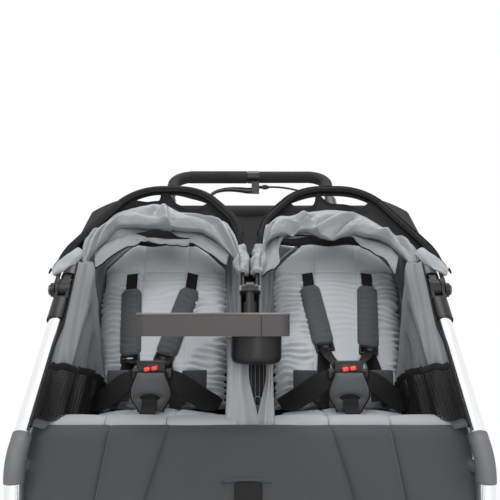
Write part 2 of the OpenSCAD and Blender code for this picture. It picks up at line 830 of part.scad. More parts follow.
module handle_bar() {
    color(black) difference() {
        handle_shape(handle_r, upper_l);
        x_disc(-side_x, side_x, tube_r + fit, upper_end);
    }
}

module handle_clamps() {
    reach = 55;
    color(black) both_sides() difference() {
        union() {
            x_disc(handle_x - clamp_half, handle_x + clamp_half, tube_r + 5, upper_end);
            rod(from_hub(handle_x, upper_l, upper_angle), from_hub(handle_x, upper_l + reach, upper_angle),
                handle_r + 4);
        }
        x_disc(0, side_x, tube_r + run, upper_end);
        rod(from_hub(handle_x, upper_l, upper_angle), from_hub(handle_x, grip_l, upper_angle), handle_r + run);
    }
}

module handle_grip() {
    color(black) difference() {
        handle_shape(grip_r, grip_l - handle_bend - 30);
        handle_shape(handle_r + run, grip_l - handle_bend - 40);
        translate([perch_x[0] - fit, grip[1] - grip_d, grip[2] - grip_d])
            cube([perch_x[1] - perch_x[0] + 2 * fit, 2 * grip_d, 2 * grip_d]);
    }
}

lever_t = 8;
lever_pin_r = 3;
lug_half = lever_t / 2 + 5;
barrel_z = lever_z + 8;

module brake_perch() {
    lug_end = perch_x[1];
    slot = lever_t / 2 + fit;
    color(black) {
        difference() {
            union() {
                x_disc(perch_x[0], perch_x[1], grip_r + 1, grip);
                translate([4, grip[1] - lug_half, lever_z - 8])
                    cube([lug_end - 4, 2 * lug_half, grip[2] - lever_z]);
            }
            x_disc(-handle_x, handle_x, handle_r + run, grip);
            translate([0, grip[1] - slot, lever_z - 9]) cube([lug_end - 2, 2 * slot, 17]);
        }
        translate([lever_x, grip[1] - lug_half, lever_z]) rotate([-90, 0, 0])
            cylinder(h = 2 * lug_half, r = lever_pin_r);
        x_disc(lug_end - 1, lug_end + 26 - fit, barrel_r, [0, grip[1], barrel_z]);
        x_disc(lug_end + 9, lug_end + 21, barrel_r + 2, [0, grip[1], barrel_z]);
    }
}

// Hooked blade of the hand brake lever
module brake_lever() {
    eye = 7;
    tip = [-97, -6];
    tip_r = 4;
    color(black) translate([0, grip[1], lever_z]) rotate([90, 0, 0]) difference() {
        translate([0, 0, -lever_t / 2]) linear_extrude(lever_t) polygon(concat(
            [for (a = [-90 : 15 : 90]) [lever_x, 0] + eye * [cos(a), sin(a)]],
            [[-22, 3], [-60, 4]],
            [for (a = [90 : 30 : 270]) tip + tip_r * [cos(a), sin(a)]],
            [[-60, -4], [-22, -7]]));
        translate([lever_x, 0, -lever_t]) cylinder(h = 2 * lever_t, r = lever_pin_r + run);
    }
}

// Dark cloth hung below the crossbar, between the upper tubes
module back_panel() {
    nu = 16;
    nv = 4;
    from = 150;
    to = upper_l - tube_r - 5 - fit;
    corner = 60;
    cloth_t = 3;
    sag = 10;
    straight = upper_l - corner;
    function half(r) = side_x - corner - 2 + (r < straight ? corner - tube_r
        : sqrt(pow(corner - tube_r, 2) - pow(r - straight, 2)));
    normal = [0, -sin(upper_angle), cos(upper_angle)];
    function place(i, j, out) = let (u = i / nu, v = j / nv, r = mix(from, to, v))
        from_hub((2 * u - 1) * half(r), r, upper_angle) + (out - sag * sin(180 * u) * sin(180 * v)) * normal;
    color(dark_grey) slab(
        [for (i = [0 : nu]) [for (j = [0 : nv]) place(i, j, cloth_t / 2)]],
        [for (i = [0 : nu]) [for (j = [0 : nv]) place(i, j, -cloth_t / 2)]]);
}

// Brake cable above the fold: distance across, from the hub and below the plane of the upper frame
upper_route = concat([for (p = [[50, 16, 20], [62, 16, 20], [80, 18, 20], [105, 26, 20], [130, 39, 20],
    [152, 57, 19], [172, 79, 17], [186, 101, 18]]) [p[0], grip_l - p[1], p[2]]],
    [[192, 364, 22], [200, 338, 27], [216, 310, 27], [238, 286, 26], [266, 264, 25], [294, 243, 23], [320, 220, 21],
    [340, 196, 19], [352, 172, 17.6], [357, 148, 16.9], [358, 122, 16.8], [358, 96, 16.8]]);

module brake_cable_upper() {
    normal = [0, -sin(upper_angle), cos(upper_angle)];
    color(black) cable([for (p = upper_route) from_hub(p[0], p[1], upper_angle) - p[2] * normal], cable_r);
}

// Canopies
bow_mid = (bow_x + bow_inner_x) / 2;
bow_half = (bow_x - bow_inner_x) / 2;

module canopy_bow() {
    outline = [[bow_half, 0], [bow_half - 2.7, 98], [62, canopy_r], [-85, canopy_r], [-bow_half + 13.7, 190],
        [-bow_half, 0]];
    difference() {
        union() {
            bent_tube([for (p = outline) from_hub(bow_mid + p[0], p[1], canopy_angle)], bow_d / 2,
                [120, 110, 110, 130]);
            x_disc(bow_x - bow_d / 2, bow_x + bow_d / 2, bow_disc_r, hub);
            x_disc(bow_inner_x - bow_d / 2, bow_inner_x + bow_d / 2, bow_disc_r - 2, hub);
        }
        x_disc(0, bow_x + bow_d, pin_r + run, hub);
    }
}

module canopy_bow_left() { color(black) mirror([1, 0, 0]) canopy_bow(); }
module canopy_bow_right() { color(black) canopy_bow(); }

// Canopy cloth, bunched in folds behind its bow
module canopy_cover() {
    nu = 22;
    nv = 8;
    cloth_t = 5;
    fold = 26;
    front = canopy_angle - asin((bow_d / 2 + fit) / canopy_r);
    back = upper_angle + 7;
    from = 24;
    mid = bow_mid - 12;
    half = bow_half - 36;
    function place(i, j, out) = let (
        v = j / nv, a = mix(from, 180 - from, i / nu), r = 1 - 0.03 * v,
        drop = fold * pow(sin(360 * v), 2) * (0.7 + 0.3 * sin(540 * i / nu)))
        from_hub(mid - cos(a) * (half - drop * 0.6 + out) * r,
            (canopy_r - drop + out) * sin(a) * r, mix(front, back, v));
    slab([for (i = [0 : nu]) [for (j = [0 : nv]) place(i, j, cloth_t / 2)]],
        [for (i = [0 : nu]) [for (j = [0 : nv]) place(i, j, -cloth_t / 2)]]);
}

module canopy_cover_left() { color(light_grey) mirror([1, 0, 0]) canopy_cover(); }
module canopy_cover_right() { color(light_grey) canopy_cover(); }

// Seat backs, each a padded cover on a board that hinges on the recline bar
back_edge = 18;
back_from = sleeve_r + 5;
back_n = -sleeve_r + board_t + fit;
function back_half(v) = back_w / 2 * (1 - 0.22 * pow(v, 9)) - 5 * sin(180 * v);
function back_front(u, v) = back_n + back_edge + (back_t - back_edge) * crown(u) * crown(v);
function back_at(u, v, n) = [seat_x + (2 * u - 1) * back_half(v), mix(back_from, back_l, v), n];

module on_back() {
    translate([0, recline_y, recline_z]) rotate([back_angle, 0, 0]) children();
}

module seat_back() {
    nu = 14;
    nv = 14;
    board_w = back_w - 60;
    on_back() {
        slab([for (i = [0 : nu]) [for (j = [0 : nv]) back_at(i / nu, j / nv, back_front(i / nu, j / nv))]],
            [for (i = [0 : nu]) [for (j = [0 : nv]) back_at(i / nu, j / nv, back_n)]]);
        difference() {
            union() {
                x_disc(seat_x - board_w / 2, seat_x + board_w / 2, sleeve_r);
                translate([seat_x - board_w / 2, 0, -sleeve_r]) cube([board_w, back_l - 30, board_t]);
            }
            x_disc(0, side_x, recline_r + run);
        }
    }
}

module seat_back_left() { color(light_grey) mirror([1, 0, 0]) seat_back(); }
module seat_back_right() { color(light_grey) seat_back(); }

module shoulder_straps() {
    nu = 4;
    nv = 8;
    low = [0.33, 0.36];
    high = [0.24, 0.84];
    strap_w = 0.17;
    strap_t = 12;
    lift = 0.9;
    function place(i, j, out) = let (
        c = mix(low, high, j / nv), u = c[0] + (i / nu - 0.5) * strap_w)
        back_at(u, c[1], back_front(u, c[1]) + lift + out);
    module strap() {
        slab([for (i = [0 : nu]) [for (j = [0 : nv]) place(i, j, 4 + (strap_t - 4) * crown(i / nu))]],
            [for (i = [0 : nu]) [for (j = [0 : nv]) place(i, j, 0)]]);
    }
    on_back() {
        strap();
        translate([2 * seat_x, 0, 0]) mirror([1, 0, 0]) strap();
    }
}

module shoulder_straps_left() { color(dark_grey) mirror([1, 0, 0]) shoulder_straps(); }
module shoulder_straps_right() { color(dark_grey) shoulder_straps(); }

// Tray and cup holder
module rounded(l, w, r) {
    square([l - 2 * r, w], center = true);
    square([l, w - 2 * r], center = true);
    for (x = [-1, 1], y = [-1, 1]) translate([x * (l / 2 - r), y * (w / 2 - r)]) circle(r);
}

module child_tray() {
    corner = 14;
    floor_z = tray_z - tray_h;
    color(dark_grey) difference() {
        union() {
            translate([tray_x, tray_y, floor_z]) linear_extrude(tray_h) rounded(tray_l, tray_w, corner);
            translate([0, peg_y, floor_z]) cylinder(h = tray_h, r = boss_r);
        }
        translate([tray_x, tray_y, floor_z + tray_wall]) linear_extrude(tray_h)
            rounded(tray_l - 2 * tray_wall, tray_w - 2 * tray_wall, corner - tray_wall);
        translate([cup_x, tray_y, floor_z - 1]) cylinder(h = tray_h, r = cup_r + tray_wall + fit);
        translate([0, peg_y, floor_z - 1]) cylinder(h = tray_h - tray_wall + 1, r = peg_r + run);
    }
}

module cup_holder() {
    floor_z = tray_z - tray_h;
    low = tray_z - cup_h;
    outer = cup_r + tray_wall;
    fillet = 12;
    flange_z = floor_z + tray_wall + fit;
    flange_t = 2.5;
    lip = 1.4;
    function round_corner(r) = [for (a = [-90 : 15 : 0]) [outer - fillet, low + fillet] + r * [cos(a), sin(a)]];
    color(black) translate([cup_x, tray_y, 0]) difference() {
        rotate_extrude() polygon(concat([[0, low]], round_corner(fillet),
            [[outer, flange_z], [outer + lip, flange_z], [outer + lip, flange_z + flange_t],
                [0, flange_z + flange_t]]));
        rotate_extrude() polygon(concat([[0, low + tray_wall]], round_corner(fillet - tray_wall),
            [[0, low + fillet]]));
        translate([0, 0, low + fillet]) cylinder(h = cup_h, r = cup_r);
    }
}

// Wheels, drawn about the X axis
tyre_r = tyre_w / 2;
tyre_mid = wheel_d / 2 - tyre_r;

module tyre() {
    rotate([0, 90, 0]) rotate_extrude($fn = 96) difference() {
        translate([tyre_mid, 0]) circle(tyre_r);
        translate([0, -tyre_w]) square([rim_r, 2 * tyre_w]);
    }
}

module rim(ring_side) {
    depth = 15;
    flange_x = 18;
    flange_r = 22;
    barrel = 17;
    bearing_r = 14;
    bearing_w = 9;
    rotate([0, 90, 0]) {
        rotate_extrude($fn = 96) polygon([[rim_r - fit, -rim_w / 2], [rim_r - fit, rim_w / 2],
            [rim_r - depth + 5, rim_w / 2], [rim_r - depth, rim_w / 4], [rim_r - depth, -rim_w / 4],
            [rim_r - depth + 5, -rim_w / 2]]);
        difference() {
            union() {
                cylinder(h = 2 * hub_half, r = barrel, center = true);
                for (side = [-1, 1]) translate([0, 0, side * flange_x]) cylinder(h = 3, r = flange_r, center = true);
                if (ring_side != 0) translate([0, 0, ring_side * (hub_half - 4)]) difference() {
                    cylinder(h = 6, r = park_ring_r, center = true);
                    for (k = [0 : spoke_count - 1]) rotate([0, 0, 360 * k / spoke_count + 90])
                        translate([park_ring_r, 0]) cylinder(h = 10, r = dog_r + 1.5, center = true);
                }
            }
            cylinder(h = 4 * hub_half, r = bearing_r + run, center = true);
        }
        for (k = [0 : spoke_count - 1]) rotate([0, 0, 360 * (k + 0.5) / spoke_count])
            rod([flange_r - 3, 0, flange_x * (k % 2 == 0 ? 1 : -1)],
                [rim_r - depth + 1, 0, (k % 2 == 0 ? 4 : -4)], 1.2);
        for (side = [-1, 1]) translate([0, 0, side * (hub_half - bearing_w / 2)]) difference() {
            cylinder(h = bearing_w, r = bearing_r, center = true);
            cylinder(h = 2 * bearing_w, r = axle_r + run, center = true);
        }
    }
}

module front_tyre() { color(rubber) translate(front_axle) tyre(); }
module front_rim() { color(steel) translate(front_axle) rim(0); }
module rear_tyre_left() { color(rubber) translate(rear_axle - [rear_wheel_x, 0, 0]) tyre(); }
module rear_rim_left() { color(steel) translate(rear_axle - [rear_wheel_x, 0, 0]) rim(1); }
module rear_tyre_right() { color(rubber) translate(rear_axle + [rear_wheel_x, 0, 0]) tyre(); }
module rear_rim_right() { color(steel) translate(rear_axle + [rear_wheel_x, 0, 0]) rim(-1); }

main_tube_left();
main_tube_right();
fork_ends();
wheel_axles();
axle_nuts();
rear_leg_left();
rear_leg_right();
rear_beam();
seat_frame();
lower_frame();
lower_hubs();
fold_pins();
centre_post();
post_sleeve();
tray_bracket();
seat_cushion_left();
seat_cushion_right();
calf_panel();
footrest_panel();
side_panels();
mesh_pockets();
centre_divider();
cargo_basket();
crotch_pads();
harness_buckles();
hip_straps();
caliper_bolt();
brake_cable_lower();
buckle_button_left();
buckle_button_right();
parking_brake();
brake_arm_left();
brake_arm_right();
upper_tube();
upper_hubs();
crossbar_sleeves();
handle_bar();
handle_clamps();
handle_grip();
brake_perch();
back_panel();
brake_cable_upper();
brake_lever();
canopy_bow_left();
canopy_bow_right();
canopy_cover_left();
canopy_cover_right();
seat_back_left();
seat_back_right();
shoulder_straps_left();
shoulder_straps_right();
child_tray();
cup_holder();
front_tyre();
front_rim();
rear_tyre_left();
rear_rim_left();
rear_tyre_right();
rear_rim_right();
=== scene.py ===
import json
from math import atan2, cos, exp, pi, radians, sin

import bmesh
import bpy
from mathutils import Matrix, Vector, noise


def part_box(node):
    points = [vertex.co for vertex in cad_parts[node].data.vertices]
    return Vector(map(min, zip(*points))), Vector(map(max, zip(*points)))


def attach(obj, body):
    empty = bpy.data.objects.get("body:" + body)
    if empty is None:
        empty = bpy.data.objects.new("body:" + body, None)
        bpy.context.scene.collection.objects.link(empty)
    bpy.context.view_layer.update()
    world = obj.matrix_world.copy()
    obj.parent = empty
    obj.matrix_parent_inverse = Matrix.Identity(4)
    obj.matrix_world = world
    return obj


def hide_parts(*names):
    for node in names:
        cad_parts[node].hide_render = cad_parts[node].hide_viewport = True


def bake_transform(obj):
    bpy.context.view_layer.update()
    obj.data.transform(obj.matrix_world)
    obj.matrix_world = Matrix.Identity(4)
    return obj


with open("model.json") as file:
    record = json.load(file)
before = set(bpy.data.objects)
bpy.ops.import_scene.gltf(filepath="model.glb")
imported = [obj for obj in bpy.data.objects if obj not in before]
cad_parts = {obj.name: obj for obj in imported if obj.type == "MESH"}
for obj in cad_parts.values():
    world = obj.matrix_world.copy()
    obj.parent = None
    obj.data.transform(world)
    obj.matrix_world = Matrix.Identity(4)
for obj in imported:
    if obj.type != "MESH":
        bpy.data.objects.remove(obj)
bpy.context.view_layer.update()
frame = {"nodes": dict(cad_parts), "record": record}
nodes = frame["nodes"]
scene = bpy.context.scene
scene.view_settings.view_transform = "Standard"

# places of the frame that the cloth hangs on, in metres
hubY, hubZ = 0.191, 0.728
upperAngle, bowAngle = radians(39.4), radians(52)
backAngle = radians(60)
hingeY, hingeZ = 0.262, 0.460
mainTubeX, bendY, bendZ = 0.36, -0.055, 0.454
seatTop = 0.4985
sides = ((-1, "left"), (1, "right"))

# the body and the slot of most pieces
chassisWeb = {"body": "chassis", "slot": "black_webbing"}
chassisLight = {"body": "chassis", "slot": "light_fabric"}
chassisDark = {"body": "chassis", "slot": "dark_fabric"}
chassisPlastic = {"body": "chassis", "slot": "black_plastic"}


def mix(a, b, t):
    return a + (b - a) * t


def ease(t):
    t = min(max(t, 0), 1)
    return t * t * (3 - 2 * t)


def crowded(t):
    # shares that crowd towards both ends
    return (1 - cos(pi * t)) / 2


def bell(distance, width):
    return exp(-((distance / width) ** 2))


def fromHub(x, r, angle, lift=0.0):
    return Vector((x, hubY + r * cos(angle) - lift * sin(angle), hubZ + r * sin(angle) + lift * cos(angle)))


def onBack(x, up, out):
    return Vector((x, hingeY + up * cos(backAngle) - out * sin(backAngle),
                   hingeZ + up * sin(backAngle) + out * cos(backAngle)))


def mainTubeY(z):
    return mix(hubY, bendY, (hubZ - z) / (hubZ - bendZ))


def rumple(x, y, z, size, seed=0.0):
    return noise.noise(Vector((x, y, z)) / size + Vector((seed, 7.3 * seed, 1.7)))


def crease(x, y, z, size, seed=0.0):
    return 1 - 2.2 * abs(rumple(x, y, z, size, seed))


# making pieces


def finishPiece(name, mesh, finish, body=None, slot=None):
    bmesh.ops.recalc_face_normals(mesh, faces=mesh.faces)
    data = bpy.data.meshes.new(name)
    mesh.to_mesh(data)
    mesh.free()
    data.polygons.foreach_set("use_smooth", [True] * len(data.polygons))
    data.materials.append(finish)
    piece = bpy.data.objects.new(name, data)
    scene.collection.objects.link(piece)
    if body:
        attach(piece, body)
    return piece


def clothGrid(mesh, across, along, place, size):
    uv = mesh.loops.layers.uv.verify()
    made = bmesh.ops.create_grid(mesh, x_segments=across, y_segments=along, size=0.5)["verts"]
    share = {v: (v.co.x + 0.5, v.co.y + 0.5) for v in made}
    for face in {f for v in made for f in v.link_faces}:
        for loop in face.loops:
            u, v = share[loop.vert]
            loop[uv].uv = (u * size[0], v * size[1])
    for vert, (u, v) in share.items():
        vert.co = place(u, v)


def soften(piece):
    smooth = piece.modifiers.new("smooth", "SUBSURF")
    smooth.levels = smooth.render_levels = 1


def cloth(name, across, along, place, size, finish, thick=0.0015, **more):
    mesh = bmesh.new()
    clothGrid(mesh, across, along, place, size)
    piece = finishPiece(name, mesh, finish, **more)
    soften(piece)
    wall = piece.modifiers.new("thickness", "SOLIDIFY")
    wall.thickness, wall.offset = thick, 0
    return piece


def sheet(name, across, along, place, flat, finish, held, holder, thick=0.0015, **more):
    # cloth cut to its flat size; what holds it is given but not used
    piece = cloth(name, across, along, place, flat, finish, thick, **more)
    return piece


def sewInto(mesh, across, along, place, front, rear, size):
    # two cloths sewn round their edge; front and rear give how far out each point is placed
    for out in (front, rear):
        clothGrid(mesh, across, along, lambda u, v: place(u, v, out(u, v)), size)
    bmesh.ops.bridge_loops(mesh, edges=[e for e in mesh.edges if e.is_boundary])


def shell(name, across, along, place, front, rear, size, finish, smooth=True, **more):
    mesh = bmesh.new()
    sewInto(mesh, across, along, place, front, rear, size)
    piece = finishPiece(name, mesh, finish, **more)
    if smooth:
        soften(piece)
    return piece


def flush(out):
    return lambda u, v: out


def smoothLine(points, steps):
    points = [Vector(p) for p in points]
    line = []
    for i in range(len(points) - 1):
        before, here = points[max(i - 1, 0)], points[i]
        there, after = points[i + 1], points[min(i + 2, len(points) - 1)]
        for k in range(steps):
            t = k / steps
            square, cube = 2 * before - 5 * here + 4 * there - after, 3 * here - before - 3 * there + after
            line.append(0.5 * (2 * here + (there - before) * t + square * t ** 2 + cube * t ** 3))
    return line + [points[-1]]


def walk(line, share):
    # the point at a share of the way along a line
    place = min(max(share, 0), 1) * (len(line) - 1)
    k = min(int(place), len(line) - 2)
    return line[k].lerp(line[k + 1], place - k)


def roundedLine(points, radii, steps=10):
    points = [Vector(p) for p in points]
    line = [points[0]]
    for before, corner, after, radius in zip(points, points[1:], points[2:], radii):
        a, b = (before - corner).normalized(), (after - corner).normalized()
        half = a.angle(b) / 2
        cut = radius / (sin(half) / cos(half))
        centre = corner + (a + b).normalized() * (radius / sin(half))
        start, stop = corner + a * cut - centre, corner + b * cut - centre
        turns = (start.slerp(stop, k / steps) for k in range(steps + 1))
        line += [centre + turn * radius / turn.length for turn in turns]
    return line + [points[-1]]


def sweepInto(mesh, line, radius, sides=12, up=Vector((0.31, 0.17, 0.94))):
    # a ring carried along a line; radius gives the two half widths at each share of the way
    uv = mesh.loops.layers.uv.verify()
    ring = bmesh.ops.create_circle(mesh, segments=sides, radius=1)["verts"]
    first = list(ring)
    base = [v.co.copy() for v in ring]
    rings = []
    last = len(line) - 1
    side = None
    for i, point in enumerate(line):
        way = (line[min(i + 1, last)] - line[max(i - 1, 0)]).normalized()
        side = way.cross(up).normalized() if side is None else (side - way * side.dot(way)).normalized()
        other = way.cross(side)
        wide, high = radius(i / last)
        if i:
            edges = {e for v in ring for e in v.link_edges if e.other_vert(v) in ring}
            made = bmesh.ops.extrude_edge_only(mesh, edges=list(edges))["geom"]
            fresh = [g for g in made if isinstance(g, bmesh.types.BMVert)]
            pairs = {}
            for v in fresh:
                for e in v.link_edges:
                    if e.other_vert(v) in ring:
                        pairs[e.other_vert(v)] = v
            ring = [pairs[v] for v in ring]
        for v, c in zip(ring, base):
            v.co = point + side * c.x * wide + other * c.y * high
        rings.append(ring)
    for end in (first, ring):
        mesh.faces.new(end)
    travelled, place = 0.0, {}
    for i, group in enumerate(rings):
        travelled += (line[i] - line[i - 1]).length if i else 0
        for k, v in enumerate(group):
            place[v] = (k / sides, travelled)
    for face in {f for group in rings for v in group for f in v.link_faces}:
        for loop in face.loops:
            loop[uv].uv = place[loop.vert]


def sweep(name, lines, radius, finish, sides=12, **more):
    mesh = bmesh.new()
    for line in lines:
        sweepInto(mesh, line, radius, sides)
    return finishPiece(name, mesh, finish, **more)


def even(r):
    return lambda share: (r, r)


def upAndDown(place, count):
    # points up one side of a pad and down the other
    passes = ((-1, range(count + 1)), (1, range(count, -1, -1)))
    return [place(s, k / count) for s, run in passes for k in run]


def blockInto(mesh, size, place, bevel, turn=Matrix.Identity(4), window=None):
    # a bevelled block, with an optional window sunk into its front
    made = bmesh.ops.create_cube(mesh, size=1)["verts"]
    bmesh.ops.scale(mesh, vec=size, verts=made)
    edges = list({e for v in made for e in v.link_edges})
    if window:
        front = min({f for v in made for f in v.link_faces}, key=lambda f: f.calc_center_median().y)
        bmesh.ops.inset_individual(mesh, faces=[front], thickness=window[0])
        moved = bmesh.ops.extrude_face_region(mesh, geom=[front])["geom"]
        sunk = [g for g in moved if isinstance(g, bmesh.types.BMVert)]
        bmesh.ops.delete(mesh, geom=[front], context="FACES_ONLY")
        bmesh.ops.translate(mesh, vec=(0, window[1], 0), verts=sunk)
        made += sunk
        made += [v for e in edges for v in e.verts]
        made += [v for s in sunk for e in s.link_edges for v in e.verts]
    edges = [e for e in edges if e.is_valid]
    bevelled = bmesh.ops.bevel(mesh, geom=edges, offset=bevel, offset_type="OFFSET", affect="EDGES",
                               segments=3, profile=0.5, material=-1)
    group = {v for v in made if v.is_valid} | set(bevelled["verts"])
    bmesh.ops.transform(mesh, matrix=Matrix.Translation(place) @ turn, verts=list(group))


def freeze(piece):
    graph = bpy.context.evaluated_depsgraph_get()
    data = bpy.data.meshes.new_from_object(piece.evaluated_get(graph))
    piece.modifiers.clear()
    piece.data = data
    data.polygons.foreach_set("use_smooth", [True] * len(data.polygons))


def puff(piece, voxel, cap, frames=20, pressure=4.0):
    # remesh the sewn form, blow it up as cloth, and keep every point within the cap
    remesh = piece.modifiers.new("remesh", "REMESH")
    remesh.mode, remesh.voxel_size = "VOXEL", voxel
    freeze(piece)
    rest = [v.co.copy() for v in piece.data.vertices]
    blown = piece.modifiers.new("cloth", "CLOTH")
    blown.settings.use_pressure = True
    blown.settings.uniform_pressure_force = pressure
    blown.settings.effector_weights.gravity = 0
    blown.point_cache.frame_end = frames
    for step in range(1, frames + 1):
        scene.frame_set(step)
    freeze(piece)
    for v, start in zip(piece.data.vertices, rest):
        move = v.co - start
        if move.length > cap:
            v.co = start + move.normalized() * cap
    scene.frame_set(1)
    soften(piece)
    freeze(piece)


def press(piece, depth):
    # moves each point along its normal by what depth gives
    for v, normal in [(v, v.normal.copy()) for v in piece.data.vertices]:
        v.co += normal * depth(v.co)
    piece.data.update()


# finishes


class Wire:
    # one socket of a finish, with the arithmetic that the patterns use
    def __init__(self, finish, socket):
        self.finish, self.socket = finish, socket

    def sum(self, operation, a, b):
        return self.finish.node("ShaderNodeMath", {"operation": operation}, {0: a, 1: b})

    def through(self, operation):
        return self.finish.node("ShaderNodeMath", {"operation": operation}, {0: self})

    def __add__(self, other):
        return self.sum("ADD", self, other)

    def __radd__(self, other):
        return self.sum("ADD", other, self)

    def __sub__(self, other):
        return self.sum("SUBTRACT", self, other)

    def __rsub__(self, other):
        return self.sum("SUBTRACT", other, self)

    def __mul__(self, other):
        return self.sum("MULTIPLY", self, other)

    def __rmul__(self, other):
        return self.sum("MULTIPLY", other, self)

    def __pow__(self, other):
        return self.sum("POWER", self, other)


class Finish:
    def __init__(self, name, kind="Object"):
        self.material = bpy.data.materials.new(name)
        self.material.use_nodes = True
        self.tree = self.material.node_tree
        self.shader = self.tree.nodes["Principled BSDF"]
        self.place = self.node("ShaderNodeTexCoord", out=kind)

    def feed(self, socket, value):
        if isinstance(value, Wire):
            self.tree.links.new(value.socket, socket)
        else:
            socket.default_value = value

    def node(self, kind, settings=None, sockets=None, out=0):
        made = self.tree.nodes.new(kind)
        for key, value in (settings or {}).items():
            setattr(made, key, value)
        for key, value in (sockets or {}).items():
            self.feed(made.inputs[key], value)
        return Wire(self, made.outputs[out])

    def turned(self, angles):
        return self.node("ShaderNodeMapping", {"vector_type": "POINT"},
                         {"Vector": self.place, "Rotation": angles})

    def cloudy(self, scale, detail=2.0, rough=0.5, place=None):
        return self.node("ShaderNodeTexNoise", {}, {"Vector": place or self.place, "Scale": scale,
                                                    "Detail": detail, "Roughness": rough})

    def threads(self, pitch, place=None):
        # a plain weave: threads over and under each other
        x, y = ((self.axis(i, place) * (2 * pi / pitch)).through("SINE") for i in (0, 1))
        return x * y * 0.5 + 0.5

    def ribs(self, pitch, axis):
        return (self.axis(axis) * (2 * pi / pitch)).through("SINE") * 0.5 + 0.5

    def step(self, value, low, high):
        return self.node("ShaderNodeMapRange", {"interpolation_type": "SMOOTHSTEP"},
                         {"Value": value, "From Min": low, "From Max": high})

    def axis(self, which, place=None):
        return self.node("ShaderNodeSeparateXYZ", {}, {0: place or self.place}, which)

    def between(self, share, dark, light):
        return self.node("ShaderNodeMix", {"data_type": "RGBA"},
                         {0: share, 6: (*dark, 1), 7: (*light, 1)}, 2)

    def bump(self, height, depth, strength=0.6):
        return self.node("ShaderNodeBump", {}, {"Height": height, "Distance": depth, "Strength": strength})

    def done(self, **sockets):
        for key, value in sockets.items():
            self.feed(self.shader.inputs[key.replace("_", " ")], value)
        return self.material


def shade(colour, share):
    return tuple(c * share for c in colour)


def wovenFinish(name, colour, pitch=0.0011, kind="UV", tilt=(0, 0, 0), rough=0.78, sheen=0.2, slub=0.10,
                shine=0.25):
    f = Finish(name, kind)
    place = f.turned(tilt)
    weave, patches = f.threads(pitch, place), f.cloudy(9, 3, 0.55)
    slubs = f.cloudy(420, 2, 0.6, place)
    tone = patches * 0.6 + slubs * 0.25 + weave * 0.15
    height = weave * 0.7 + slubs * 0.5
    return f.done(Base_Color=f.between(tone, shade(colour, 1 - 2 * slub), shade(colour, 1 + 1.6 * slub)),
                  Roughness=rough - 0.12 * patches, Sheen_Weight=sheen, Sheen_Roughness=0.45,
                  Specular_IOR_Level=shine, Normal=f.bump(height, 0.0004, 0.55))


def webbingFinish(name, colour, pitch=0.0022):
    f = Finish(name, "UV")
    ribs, cross = f.ribs(pitch, 0), f.ribs(pitch * 1.6, 1)
    weave = ribs * 0.7 + cross * 0.3
    tone = weave * 0.7 + f.cloudy(30) * 0.3
    return f.done(Base_Color=f.between(tone, shade(colour, 0.7), shade(colour, 1.5)),
                  Roughness=0.72 - 0.15 * weave, Specular_IOR_Level=0.12, Normal=f.bump(weave, 0.0006, 0.7))


def plasticFinish(name, colour, rough=0.45, grain=900, wear=0.2):
    f = Finish(name)
    pits, smears = f.cloudy(grain, 2, 0.6), f.cloudy(14, 3, 0.6)
    tone = smears * 0.7 + pits * 0.3
    return f.done(Base_Color=f.between(tone, shade(colour, 1 - wear), shade(colour, 1 + wear)),
                  Roughness=rough + 0.18 * smears - 0.08 * pits, Specular_IOR_Level=0.3,
                  Normal=f.bump(pits, 0.00025, 0.35))


def metalFinish(name, colour, rough=0.16, streak=0.0):
    f = Finish(name)
    drawn = f.node("ShaderNodeMapping", {"vector_type": "POINT"}, {"Vector": f.place, "Scale": (30, 30, 600)})
    lines, smears = f.cloudy(1, 3, 0.6, drawn), f.cloudy(7, 3, 0.55)
    return f.done(Base_Color=f.between(smears * 0.6 + lines * 0.4, shade(colour, 0.92), shade(colour, 1.05)),
                  Metallic=1.0, Roughness=rough + 0.1 * smears + streak * lines,
                  Normal=f.bump(lines, 0.00005, 0.25))


def foamFinish(name, colour):
    f = Finish(name)
    cells, patches = f.cloudy(700, 3, 0.65), f.cloudy(22, 2)
    return f.done(Base_Color=f.between(cells * 0.5 + patches * 0.5, shade(colour, 0.7), shade(colour, 1.5)),
                  Roughness=0.9 - 0.15 * patches, Specular_IOR_Level=0.2, Normal=f.bump(cells, 0.0009, 0.7))


def treadFinish(name, colour, centre):
    # tread blocks in three rows round the wheel's own axle, only on its outer face
    f = Finish(name)
    x, y, z = f.axis(0) - centre[0], f.axis(1) - centre[1], f.axis(2) - centre[2]
    angle, side = y.sum("ARCTAN2", y, z), x.through("ABSOLUTE")
    blocks, rows = (angle * 84 + side * 420).through("SINE"), (x * 760).through("COSINE")
    raised, outer = f.step(blocks + rows, -0.5, 0.1), f.step((y * y + z * z) ** 0.5, 0.186, 0.191)
    dust = f.cloudy(30, 4, 0.6)
    return f.done(Base_Color=f.between(dust, shade(colour, 0.7), shade(colour, 1.7)),
                  Roughness=0.92 - 0.2 * dust, Specular_IOR_Level=0.25,
                  Normal=f.bump(raised * outer, 0.003, 0.9))


def rubberFinish(name, colour):
    f = Finish(name)
    dust, grain = f.cloudy(18, 4, 0.6), f.cloudy(500, 2)
    return f.done(Base_Color=f.between(dust * 0.8 + grain * 0.2, shade(colour, 0.75), shade(colour, 1.9)),
                  Roughness=0.95 - 0.25 * dust, Specular_IOR_Level=0.25, Normal=f.bump(grain, 0.0004, 0.5))


